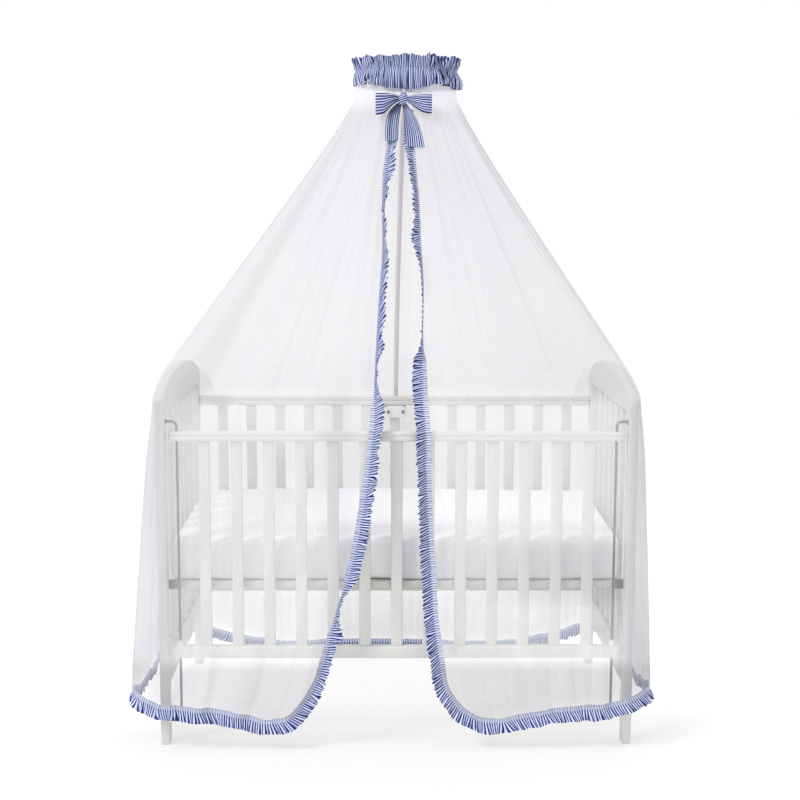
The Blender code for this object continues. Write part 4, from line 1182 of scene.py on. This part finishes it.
# share of the way from the thread to the edge, distance outside the net
BAND_ROWS = ((-1.0, 0.0105), (-0.93, 0.0122), (-0.80, 0.0132), (-0.64, 0.0136), (-0.48, 0.0128),
             (-0.34, 0.0105), (-0.22, 0.0075), (-0.12, 0.0045), (-0.05, 0.0026), (0.0, 0.0020),
             (0.10, 0.0030), (0.24, 0.0050), (0.42, 0.0068), (0.62, 0.0082), (0.82, 0.0092),
             (1.0, 0.0098))
# place round the ring in metres, left of the front is positive; half width, depth, lean over
# its height, and the share of the height where it starts and ends
DEEP = ((0.045, 0.0030, 0.007, 0.018, -1.0, 0.5), (-0.002, 0.0022, 0.008, 0.002, -0.8, -0.1),
        (0.088, 0.0035, 0.006, -0.010, -0.6, 0.6), (0.066, 0.0025, 0.005, -0.014, -0.7, 0.9),
        (0.118, 0.0035, 0.006, -0.030, -0.9, 0.9), (0.140, 0.0035, 0.006, -0.022, -0.6, 1.0),
        (0.170, 0.0040, 0.007, 0.016, -1.0, 0.7), (0.020, 0.0022, 0.005, 0.004, -1.0, 0.2),
        (-0.018, 0.0022, 0.004, 0.004, -0.9, 0.9), (-0.032, 0.0025, 0.005, -0.004, -1.0, 0.1),
        (-0.050, 0.0022, 0.005, 0.000, -0.9, -0.1), (-0.078, 0.0030, 0.007, 0.026, -0.7, 0.5),
        (-0.064, 0.0025, 0.005, -0.020, -0.3, 0.7), (-0.096, 0.0035, 0.007, 0.030, -1.0, 0.9),
        (-0.112, 0.0035, 0.006, -0.020, -1.0, 0.8), (-0.130, 0.0040, 0.007, 0.034, -1.0, 0.7),
        (-0.150, 0.0035, 0.006, -0.028, -0.9, 1.0), (-0.170, 0.0040, 0.007, 0.030, -1.0, 0.6),
        (-0.190, 0.0040, 0.006, -0.020, -1.0, 1.0), (-0.104, 0.0050, 0.005, -0.034, -0.9, 0.3),
        (-0.122, 0.0050, 0.006, 0.040, -0.6, 0.9), (-0.140, 0.0045, 0.006, 0.020, -1.0, 0.4),
        (-0.160, 0.0050, 0.006, 0.036, -0.8, 0.8), (-0.116, 0.0040, 0.007, -0.046, -0.5, 1.0),
        (-0.134, 0.0055, 0.007, -0.010, -1.0, 0.2), (-0.148, 0.0045, 0.007, 0.050, -0.9, 0.2),
        (-0.088, 0.0035, 0.006, -0.030, -0.2, 1.0))
BAND_COUNT = 1200
BAND_RADIUS = 0.158
band_length = 2 * math.pi * BAND_RADIUS


def deep_crease(place, share):
    """How far the listed creases cut in, and how dark they are, from 0 to 1."""
    depth, dark = 0.0, 0.0
    for start, half, cut, lean, low, high in DEEP:
        away = (place - start - lean * (share - (low + high) / 2) / 2) / half
        if abs(away) < 3.0:
            reach = smooth((share - low + 0.12) / 0.25) * smooth((high + 0.12 - share) / 0.25)
            depth += cut * math.exp(-away * away) * reach
            dark = max(dark, math.exp(-away * away) * reach)
    return depth, dark


rows, ruffled, heights = [], [], []
for share, off in BAND_ROWS[::-1]:
    row = []
    for k in range(BAND_COUNT):
        turn = 360.0 * k / BAND_COUNT
        angle = math.radians(turn)
        place = band_length * (k / BAND_COUNT if turn < 180 else k / BAND_COUNT - 1)
        around = Vector((math.cos(angle), math.sin(angle), share * 0.3))
        # height: the edges are ragged
        ragged = noise.noise(around * 9.0) + 0.7 * noise.noise(around * 30.0)
        if share < 0:
            z = blend(GATHER_Z, read_table(SKIRT_FOOT, turn), -share) + 0.0030 * share * ragged
        else:
            jag = 0.0058 + 0.0030 * smooth((turn - 280) / 40)
            z = blend(GATHER_Z, BAND_TOP_Z, share) + jag * share * ragged
        # distance outside the net: uneven, more so on the sides, and cut in by the creases
        swell = off + 0.0035 * abs(share) * noise.noise(around * 3.0 + Vector((5.0, 0.0, 0.0)))
        sides = smooth((abs(place) - 0.055) / 0.05)
        tilt = noise.noise(Vector((place * 32.0, 6.0, 0.0))) * (0.006 + 0.034 * sides)
        turn += math.degrees(tilt * share / BAND_RADIUS)
        swell += 0.0030 * sides * noise.noise(Vector((place * 60.0, share * 3.0, 3.0)))
        cut, dark = deep_crease(place, share)
        swell -= 0.0075 * smooth(-share * 1.4) * math.exp(-(((turn - 80) / 45) ** 2))
        swell = max(swell - cut * min(1.0, 0.35 + abs(share)), 0.0012)
        row.append(ring_point(turn, (NET_TOP[0] + swell, NET_TOP[1] + swell), z))
        # the right side is in shade
        night = smooth((-place - 0.075) / 0.03) * smooth((0.24 + place) / 0.05)
        night *= 0.30 + 0.9 * noise.noise(Vector((place * 55.0 + share * 1.4, share * 2.0, 7.0)))
        ruffled.append((band_length * k / BAND_COUNT, share, dark * 0.9 + max(night, 0.0),
                        (-math.sin(angle), -math.cos(angle), 0.12 * share),
                        (-math.cos(angle), math.sin(angle), 0.0)))
    rows.append(row)
    heights.append(abs(share) * (-SKIRT_WIDE if share < 0 else TOP_WIDE))


used = [0.0]                      # cloth used up to each column, more where it is gathered more
for k in range(BAND_COUNT):
    place = band_length * min(k / BAND_COUNT, 1 - k / BAND_COUNT)
    used.append(used[-1] + 1.0 + 0.20 * smooth((place - 0.045) / 0.06))
whole = BAND_STRIPE * round(1.38 * band_length / BAND_STRIPE)     # an even number of stripes


def band_measure(r, c):
    """The gathers take up more cloth in some places, so the stripes crowd there."""
    turn = 2 * math.pi * c / BAND_COUNT
    crowd = noise.noise(Vector((math.cos(turn) * 5.0, math.sin(turn) * 5.0, 2.0)))
    return whole * used[c] / used[-1] + 0.004 * crowd, heights[r]


band_mesh = grid_mesh("heading_band", rows, band_measure, closed=True)
add_attributes(band_mesh, ruffled)
band = link("heading", band_mesh, COTTON_BAND)
run_tree(band, ruffle, {"Pitch": 0.0190, "Depth": 0.0040, "Tight": 0.0004, "Overhang": 0.4,
                        "Lean": 0.030, "Wander": 2.4, "Shade": 0.72, "Seed": 11.0,
                        "Material": COTTON_BAND})
fit(band, "striped_cotton", "heading_band")
print("heading:", len(band.data.polygons), "faces")

# %% [markdown]
# ## The bow
#
# A ribbon of the striped cotton is tied in a bow under the heading. Each loop is a band that
# leaves the knot pinched, opens, turns round and comes back behind itself. The stripes run along
# the ribbon, so here the flat measure across the ribbon carries them.

# %% Bow: tails
BOW_X, KNOT_Z = 0.018, 1.777
# distances of the tails before the net, and of the knot and the loops before the tails
TAIL_OFF, KNOT_OFF, LOOP_OFF = 0.0035, 0.0147, 0.0175
CONE_ROWS = (0.0, 0.12, 0.27, 0.43, 0.60, 0.77, 0.92, 1.0)


def slope_y(z):
    """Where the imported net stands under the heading's front, by height."""
    top = ring_point(0, NET_TOP, CONE_TOP_Z).y
    part = (CONE_TOP_Z - z) / (CONE_TOP_Z - RAIL_Z)
    ys = [blend(top, -(COT_HALF[1] + NET_OFF), p) + SAG * math.sin(math.pi * p**SAG_SHAPE)
          for p in CONE_ROWS]
    for k in range(len(ys) - 1):
        if part <= CONE_ROWS[k + 1]:
            break
    return blend(ys[k], ys[k + 1], (part - CONE_ROWS[k]) / (CONE_ROWS[k + 1] - CONE_ROWS[k]))


# height, left side, right side, depth of the pleats
TAIL_LEFT = ((1.765, 0.002, 0.016, 0.0), (1.748, -0.016, 0.013, 0.002),
             (1.725, -0.027, 0.009, 0.005), (1.695, -0.032, 0.006, 0.006),
             (1.655, -0.032, 0.005, 0.005))
TAIL_RIGHT = ((1.765, 0.016, 0.029, 0.0), (1.745, 0.019, 0.043, 0.003),
              (1.715, 0.022, 0.060, 0.007), (1.678, 0.026, 0.073, 0.008),
              (1.637, 0.027, 0.081, 0.006))


def darken(mesh, values):
    """Stores how deep in shade each point lies, for the cotton to read."""
    layer = mesh.attributes.new("valley", "FLOAT", "POINT")
    layer.data.foreach_set("value", values)


def make_tail(name, table, node_name, slant, cloth, shaded):
    """A ribbon end with pleats that fan out from the knot."""
    down, wide = 36, 40
    rising = table[::-1]
    grid = []
    for r in range(down + 1):
        part = r / down
        row = []
        for c in range(wide + 1):
            share = c / wide
            z = blend(table[0][0], table[-1][0] + slant * (share - 0.5), part)
            left = read_table(rising, z, 1)
            right = read_table(rising, z, 2)
            pleat = read_table(rising, z, 3)
            fold = math.sin(2 * math.pi * share) ** 2
            crumple = 0.0012 * noise.noise(Vector((share * 7.0, z * 60.0, slant)))
            y = slope_y(z) - TAIL_OFF - pleat * fold - crumple * part
            row.append(Vector((blend(left, right, share), y, z)))
        grid.append(row)
    mesh = grid_mesh(name, grid, lambda r, c: (cloth * c / wide, 0.11 * r / down))
    darken(mesh, [shaded(c / wide, r / down) for r in range(down + 1) for c in range(wide + 1)])
    made = link(name, mesh, COTTON)
    return fit(made, "striped_cotton", node_name)


def shade_left(share, part):
    """Dark under the knot and in the fold of its left third."""
    fold = math.exp(-(((share - 0.30) / 0.10) ** 2)) * (0.25 + 0.35 * (1 - part))
    return 0.80 * (1 - smooth(part / 0.55)) + fold + 0.17


def shade_right(share, part):
    """Dark along its left side, where it turns under the other tail."""
    return 0.65 * smooth((0.34 - share) / 0.16) * (1 - 0.5 * part) + 0.5 * (1 - smooth(part / 0.22))


tails = [make_tail("tail_left", TAIL_LEFT, "bow_tail_left", 0.002, 0.040, shade_left),
         make_tail("tail_right", TAIL_RIGHT, "bow_tail_right", -0.004, 0.052, shade_right)]
print("tails:", [len(t.data.polygons) for t in tails], "faces")

# %% Bow: loops
# reach from the knot, distance before its middle plane, lower and upper edge
LOOP_LEFT = ((0.0120, 0.0026, -0.0075, 0.0070), (0.022, 0.0062, -0.0140, 0.0115),
             (0.036, 0.0095, -0.0250, 0.0135), (0.052, 0.0108, -0.0400, 0.0145),
             (0.0700, 0.0086, -0.0450, 0.0150), (0.0770, 0.0045, -0.0455, 0.0150),
             (0.0785, 0.0, -0.0455, 0.0150))
LOOP_RIGHT = ((0.0120, 0.0026, -0.0080, 0.0060), (0.024, 0.0062, -0.0160, 0.0080),
              (0.040, 0.0095, -0.0265, 0.0100), (0.058, 0.0108, -0.0370, 0.0110),
              (0.0760, 0.0086, -0.0410, 0.0115), (0.0835, 0.0045, -0.0415, 0.0115),
              (0.0850, 0.0, -0.0415, 0.0115))


def make_loop(name, side, table, node_name):
    start = table[0][0]
    front = [(k, *row) for k, row in enumerate(table)]
    steps = 6 * (len(front) - 1)
    half = []
    for k in range(steps + 1):
        place = k * (len(front) - 1) / steps
        half.append([read_table(front, place, column) for column in (1, 2, 3, 4)])
    run = half + [(r, -d, low, high) for r, d, low, high in half[-2::-1]]
    middle = slope_y(KNOT_Z) - TAIL_OFF - LOOP_OFF
    heights = 22
    grid = []
    for k in range(heights + 1):
        share = k / heights
        row = []
        for r, d, low, high in run:
            away = (r - start) / (table[-1][0] - start)
            pinch = 0.0026 * (1 - away) ** 1.2 * math.sin(share * 5 * math.pi)
            soft = 0.0018 * noise.noise(Vector((r * 60.0, share * 3.0, d * 100.0 + side)))
            z = KNOT_Z + blend(high, low, share)
            y = middle - d - (pinch + soft) * (1 if d >= 0 else -1)
            row.append(Vector((BOW_X + side * r, y, z)))
        grid.append(row)
    mesh = grid_mesh(name, grid, lambda r, c: (0.047 * r / heights, 0.0035 * c))
    shades = []
    for k in range(heights + 1):
        share = k / heights
        for r, d, low, high in run:
            near = 1 - (r - start) / (table[-1][0] - start)
            pinched = max(0.0, math.sin(share * 5 * math.pi + 0.8 + math.pi)) * near**1.3
            under = smooth((share - 0.62) / 0.3) * near * (0.9 if side < 0 else 0.5)
            dark = 1.15 * pinched + under + 0.10 if side < 0 else 0.45 * pinched + 0.7 * under
            shades.append(dark if d > -0.001 else 0.5)
    darken(mesh, shades)
    return fit(link(name, mesh, COTTON), "striped_cotton", node_name)


loops = [make_loop("loop_left", -1, LOOP_LEFT, "bow_loop_left"),
         make_loop("loop_right", 1, LOOP_RIGHT, "bow_loop_right")]
print("loops:", [len(t.data.polygons) for t in loops], "faces")

# %% [markdown]
# The knot is the ribbon's own turn round both loops: a small barrel, pinched at its ends, with
# ridges where the ribbon is crushed. It is stuffed tight with cloth.

# %% Bow: knot
rings, sides = 18, 28
grid = []
knot_y = slope_y(KNOT_Z) - TAIL_OFF - KNOT_OFF
for r in range(rings + 1):
    part = r / rings
    swell = math.sin(math.pi * (0.06 + 0.88 * part)) ** 0.45
    row = []
    for c in range(sides):
        angle = 2 * math.pi * c / sides
        ridge = 1 + 0.12 * math.sin(5 * angle + 4 * part) * math.sin(math.pi * part)
        x = BOW_X + 0.0130 * swell * ridge * math.sin(angle)
        y = knot_y - 0.0083 * swell * ridge * math.cos(angle)
        row.append(Vector((x, y, KNOT_Z + 0.018 * (1 - 2 * part) + 0.002 * math.sin(angle))))
    grid.append(row)
mesh = grid_mesh("knot", grid, closed=True,
                 measure=lambda r, c: (0.037 * r / rings + 0.012 * c / sides, 0.06 * c / sides))
shape = bmesh.new()
shape.from_mesh(mesh)
bmesh.ops.contextual_create(shape, geom=[e for e in shape.edges if e.is_boundary
                                         and e.verts[0].co.z > KNOT_Z])
bmesh.ops.contextual_create(shape, geom=[e for e in shape.edges if e.is_boundary])
bmesh.ops.recalc_face_normals(shape, faces=shape.faces)
shape.to_mesh(mesh)
shape.free()
knot = fit(link("knot", mesh, COTTON), "striped_cotton", "bow_knot")
print("knot:", len(mesh.polygons), "faces")

# %% [markdown]
# ## The cot's slats
#
# Twenty-six flat slats stand between the side rails, all of one section. The two sides differ a
# little in pitch and height. Even repeats are work for Geometry Nodes: a rounded rectangle is
# swept up a short line, and the result is set out along X. The tree's inputs are the joiner's
# sizes.

# %% Slat tree
slats, wires = new_tree("slats", [
    ("Count", "NodeSocketInt", 13), ("Pitch", "NodeSocketFloat", 0.09),
    ("Wide", "NodeSocketFloat", 0.031), ("Thick", "NodeSocketFloat", 0.012),
    ("Rounding", "NodeSocketFloat", 0.003), ("Low", "NodeSocketFloat", 0.27),
    ("High", "NodeSocketFloat", 0.84), ("Depth", "NodeSocketFloat", 0.34),
    ("Material", "NodeSocketMaterial", None)])
section = node(slats, "GeometryNodeCurvePrimitiveQuadrilateral", None,
               {"Width": wires["Wide"], "Height": wires["Thick"]})
section = node(slats, "GeometryNodeFilletCurve", {"mode": "POLY"},
               {"Curve": section, "Radius": wires["Rounding"], "Count": 3})
low = node(slats, "ShaderNodeCombineXYZ", None, {"Z": wires["Low"]})
high = node(slats, "ShaderNodeCombineXYZ", None, {"Z": wires["High"]})
line = node(slats, "GeometryNodeCurvePrimitiveLine", None, {"Start": low, "End": high})
slat = node(slats, "GeometryNodeCurveToMesh", None,
            {"Curve": line, "Profile Curve": section, "Fill Caps": True})
first = node(slats, "ShaderNodeCombineXYZ", None,
             {"X": (wires["Count"] - 1.0) * wires["Pitch"] * -0.5, "Y": wires["Depth"]})
step = node(slats, "ShaderNodeCombineXYZ", None, {"X": wires["Pitch"]})
places = node(slats, "GeometryNodeMeshLine", {"mode": "OFFSET"},
              {"Count": wires["Count"], "Start Location": first, "Offset": step})
row = node(slats, "GeometryNodeInstanceOnPoints", None, {"Points": places, "Instance": slat})
close_tree(slats, row, wires["Material"])
print("slat tree:", len(slats.nodes), "nodes")

# %% Slats
SIDE_Y = 0.3435                   # middle plane of the front and back side
SIDES = {"front": {"Pitch": 0.0863, "Depth": -SIDE_Y, "Low": 0.2758, "High": 0.8397},
         "back": {"Pitch": 0.0910, "Depth": SIDE_Y, "Low": 0.2758, "High": 0.8447}}
for word, sizes in SIDES.items():
    made = link(f"{word}_slats", bpy.data.meshes.new(f"{word}_slats"), PAINT["Z"])
    run_tree(made, slats, {"Count": 13, **sizes, "Material": PAINT["Z"]})
    made.data.shade_smooth()
    made.data.set_sharp_from_angle(angle=math.radians(40))
    fit(made, "white_paint", *[f"{word}_slat_{k:02d}" for k in range(1, 14)])
    print(word, "slats:", len(made.data.polygons), "faces")

# %% [markdown]
# ## Rails, posts and ends
#
# The top rails are moulded: their edges are rounded over, and a fine groove runs along the middle
# of each face. A profile drawn out along X gives that. Posts are plain bars with eased edges, and
# the arched board on top of each end is cut from one plank. Five slats and a lower panel fill the
# end.


# %% Rails
def rail_outline(low, high, y, groove):
    """Section of a rail, with a shallow groove along the middle of both faces."""
    half, mid = 0.0125, (low + high) / 2
    right = [(half, low), (half, mid - groove), (half - groove * 0.9, mid), (half, mid + groove),
             (half, high)] if groove else [(half, low), (half, high)]
    left = [(-a, b) for a, b in right[::-1]]
    return [(y + a, b) for a, b in right + left]


RAIL_EDGE, GROOVE = 0.0050, 0.0040
FRONT_HALF, BACK_HALF = 0.6121, 0.6192            # half lengths of the rails
# node, half length, middle plane, lower and upper face, depth of the groove
RAILS = (("front_top_rail", FRONT_HALF, -SIDE_Y, 0.840, 0.867, GROOVE),
         ("front_bottom_rail", FRONT_HALF, -SIDE_Y, 0.241, 0.2755, 0.0),
         ("back_top_rail", BACK_HALF, SIDE_Y, 0.845, 0.874, GROOVE),
         ("back_bottom_rail", BACK_HALF, SIDE_Y, 0.241, 0.2755, 0.0))
for name, half, y, low, high, groove in RAILS:
    shape = bmesh.new()
    add_prism(shape, rail_outline(low, high, y, groove), -half, half, "X")
    rounded(shape, RAIL_EDGE, 4, 1.2)
    made = finish_shape(f"{name}_moulded", shape, PAINT["X"], 30.0)
    fit(made, "white_paint", name)
print("rails:", len(RAILS))


# %% Posts and ends
END_X = 0.6195                    # inner face of an end
POST_TOP_Z, BOARD_FOOT_Z = 0.935, 0.9153
SLAT_HALF_THICK, SLAT_HALF_WIDE, SLAT_PITCH = 0.006, 0.0155, 0.095
for side, word in ((-1, "left"), (1, "right")):
    inner, outer = sorted((side * END_X, side * COT_HALF[0]))
    for y, place in ((-COT_HALF[1], "front"), (0.323, "back")):
        shape = bmesh.new()
        add_box(shape, (inner + 0.0002, y + 0.0003, 0.0),
                (outer - 0.0002, y + 0.0437, POST_TOP_Z), 0.0040, 4)
        fit(finish_shape(f"post_{word}_{place}_eased", shape, PAINT["Z"]), "white_paint",
            f"post_{word}_{place}")
    shape = bmesh.new()
    steps = 72
    top = [COT_HALF[1] * (2 * k / steps - 1) for k in range(steps + 1)]
    outline = [(y, arch_z(y)) for y in top]
    outline += [(COT_HALF[1], BOARD_FOOT_Z), (-COT_HALF[1], BOARD_FOOT_Z)]
    add_prism(shape, outline, inner, outer, "X", 0.0055, 4)
    middle = (inner + outer) / 2
    for k in range(5):
        y = (k - 2) * SLAT_PITCH
        add_box(shape, (middle - SLAT_HALF_THICK, y - SLAT_HALF_WIDE, 0.2445),
                (middle + SLAT_HALF_THICK, y + SLAT_HALF_WIDE, 0.9155), 0.003, 2)
    add_box(shape, (middle - 0.009, -0.3227, 0.160), (middle + 0.009, 0.3227, 0.245), 0.003, 3)
    fit(finish_shape(f"end_{word}", shape, PAINT["Y"]), "white_paint", f"end_panel_{word}")
print("posts: 4, ends: 2")

# %% [markdown]
# ## Mattress and base
#
# The mattress is a foam block in a fitted sheet, drawn tight over the corners. A block turns
# into bedding when its faces crown a little, its long edges get a soft roll, and a few creases
# run in from the corners, where the sheet's elastic gathers it.

# %% Mattress
HALF = Vector((0.6105, 0.318, 0.06085))
CENTRE = Vector((0.0, 0.0, 0.51115))
ROUND_TOP, ROUND_FOOT = 0.016, 0.008
shape = bmesh.new()
add_box(shape, CENTRE - HALF, CENTRE + HALF, 0.0)
for axis, least, cuts in ((0, 0.5, 95), (1, 0.3, 49), (2, 0.05, 11)):
    edges = [e for e in shape.edges
             if abs(e.verts[0].co[axis] - e.verts[1].co[axis]) > least]
    bmesh.ops.subdivide_edges(shape, edges=edges, cuts=cuts, use_grid_fill=True)
for vertex in shape.verts:
    place = vertex.co - CENTRE
    for k in range(3):                            # more rows near the edges
        part = place[k] / HALF[k]
        place[k] = HALF[k] * (1.25 * part - 0.25 * part**3)
    radius = blend(ROUND_FOOT, ROUND_TOP, smooth(0.5 + place.z / HALF.z))
    core = Vector([max(-h + radius, min(h - radius, c)) for c, h in zip(place, HALF)])
    out = place - core
    if out.length > 1e-6:
        place = core + out.normalized() * radius
    flat = Vector((place.x / HALF.x, place.y / HALF.y))
    if place.z > 0:                               # the top is crowned, least at its edges
        reach = min(HALF.x - abs(place.x), (HALF.y + place.y))
        puff = 0.013 * smooth(0.5 + flat.y * 0.8) * smooth(place.z / HALF.z)
        place.z += puff * (0.75 + 0.25 * math.cos(3.0 * flat.x + 0.6))
        place.z -= 0.005 * (1 - smooth(reach / 0.12)) * smooth(place.z / HALF.z)
        place.z += 0.0018 * noise.noise(Vector((place.x * 6.0, place.y * 9.0, 2.0)))
    # creases on the long sides, deeper near the corners and deepest at the left end
    near = smooth((abs(flat.x) - 0.62) / 0.38) + 1.4 * smooth((-flat.x - 0.78) / 0.18)
    crease = noise.noise(Vector((place.x * 40.0, place.z * 22.0 + place.y * 16.0, 1.0)))
    small = noise.noise(Vector((place.x * 90.0, place.z * 60.0, 4.0)))
    side = smooth((abs(flat.y) - 0.93) / 0.07)
    place.y += math.copysign((0.0030 * crease + 0.0010 * small) * side * (0.35 + near), -flat.y)
    place.y -= math.copysign(0.0025 * side * abs(place.z) / HALF.z, flat.y)
    # a shallow line below the top edge
    seam = math.exp(-(((place.z - 0.036 - 0.004 * small) / 0.007) ** 2))
    place.y -= math.copysign(0.0035 * seam * side, flat.y)
    if place.z < -0.03:                           # here and there the lower edge lifts
        lift = noise.noise(Vector((place.x * 9.0, 2.0, place.y * 3.0)))
        place.z += 0.006 * smooth(lift * 1.6) * side
    vertex.co = CENTRE + place
mattress = fit(finish_shape("mattress_covered", shape, BEDDING, 60.0), "white_sheet", "mattress")
BOARD_LOW, BOARD_HIGH = (-0.6192, -0.3285, 0.430), (0.6192, 0.3285, 0.450)
shape = bmesh.new()
add_box(shape, BOARD_LOW, BOARD_HIGH, 0.003, 3)
fit(finish_shape("base_board", shape, SHADED_BOARD_PAINT), "white_paint", "mattress_base")
print("mattress:", len(mattress.data.polygons), "faces")

# %% [markdown]
# ## Pole, ring, clamp and rods
#
# The pole, the ring, the clamp's block and bolts and the guide rods already have their real
# shape, so they stay and only get their finish.

# %% Finishes on kept solids
KEPT = {"canopy_pole": SHADED_POLE_ENAMEL, "holder_ring": ENAMEL, "clamp_block": ENAMEL,
        "clamp_bolt_left": ZINC, "clamp_bolt_right": ZINC,
        "guide_rod_left": STEEL, "guide_rod_right": STEEL}
for name, finish in KEPT.items():
    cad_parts[name].data.materials.clear()
    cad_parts[name].data.materials.append(finish)
print("kept solids finished:", len(KEPT))

# %% [markdown]
# The clamp's front plate is a pressed part with round shoulders, so it is drawn again as an
# outline in X and Z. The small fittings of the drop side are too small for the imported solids: a
# cream catch where each guide rod enters the bottom rail, a collar at each end of the rod, and
# the dark corner brackets that carry the mattress base.

# %% Clamp plate and fittings
plate_low, plate_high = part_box("clamp_plate")
middle_x, middle_z = [(plate_low[k] + plate_high[k]) / 2 for k in (0, 2)]
half_x, half_z = [(plate_high[k] - plate_low[k]) / 2 for k in (0, 2)]
outline = []
for sx, sz, first, radius in ((1, -1, -90, 0.004), (1, 1, 0, 0.013), (-1, 1, 90, 0.013),
                              (-1, -1, 180, 0.004)):
    for k in range(7):
        angle = math.radians(first + 90 * k / 6)
        outline.append((middle_x + sx * (half_x - radius) + radius * math.cos(angle),
                        middle_z + sz * (half_z - radius) + radius * math.sin(angle)))
shape = bmesh.new()
add_prism(shape, outline, plate_low[1], plate_high[1], "Y", 0.0018, 3)
fit(finish_shape("clamp_plate_pressed", shape, ENAMEL), "white_enamel", "clamp_plate")


def add_turned(shape, profile, place, axis="Z", sides=24):
    """Turns a profile of radius and height round an axis through a place."""
    rings = []
    for radius, height in profile:
        ring = []
        for k in range(sides):
            angle = 2 * math.pi * k / sides
            a, b = radius * math.cos(angle), radius * math.sin(angle)
            local = {"X": (height, a, b), "Y": (b, height, a), "Z": (a, b, height)}[axis]
            ring.append(shape.verts.new(Vector(place) + Vector(local)))
        rings.append(ring)
    for lower, upper in zip(rings, rings[1:]):
        for k in range(sides):
            n = (k + 1) % sides
            shape.faces.new((lower[k], lower[n], upper[n], upper[k]))
    shape.faces.new(rings[0][::-1])
    shape.faces.new(rings[-1])


ROD_X, CATCH_Z = 0.590, 0.2757
ROD_END_X = {-1: -0.6192, 1: 0.6162}              # where the collars start, by side
ROD_END_HEIGHTS = (0.893, 0.088)
BRACKET_REACH, BRACKET_Y, BRACKET_THICK = 0.5975, (-0.3303, 0.3289), 0.0014
# radius, height
CATCH = ((0.0092, 0.0), (0.0096, 0.0012), (0.0094, 0.0042), (0.0066, 0.0062), (0.0052, 0.0125),
         (0.0046, 0.0135))
COLLAR = ((0.0050, 0.0), (0.0074, 0.0004), (0.0078, 0.0018), (0.0052, 0.0030))
catches = bmesh.new()
steel = bmesh.new()
for side in (-1, 1):
    add_turned(catches, CATCH, (side * ROD_X, -SIDE_Y, CATCH_Z))
    for height in ROD_END_HEIGHTS:
        add_turned(steel, COLLAR, (ROD_END_X[side], -SIDE_Y, height), "X")
    low_x, high_x = sorted((side * 0.6194, side * BRACKET_REACH))
    for y in BRACKET_Y:
        add_box(steel, (low_x, y, 0.4290), (high_x, y + BRACKET_THICK, 0.4560), 0.0005, 2)
fit(finish_shape("rod_catches", catches, PLASTIC), "white_enamel")
fit(finish_shape("corner_brackets", steel, STEEL), "dark_steel")
print("plate and fittings made")

# %% [markdown]
# ## The cloth
#
# The net was cut as one panel, wide enough for the way round the cot and as long as the fall from
# ring to hem.

# %% End
print("all pieces made")
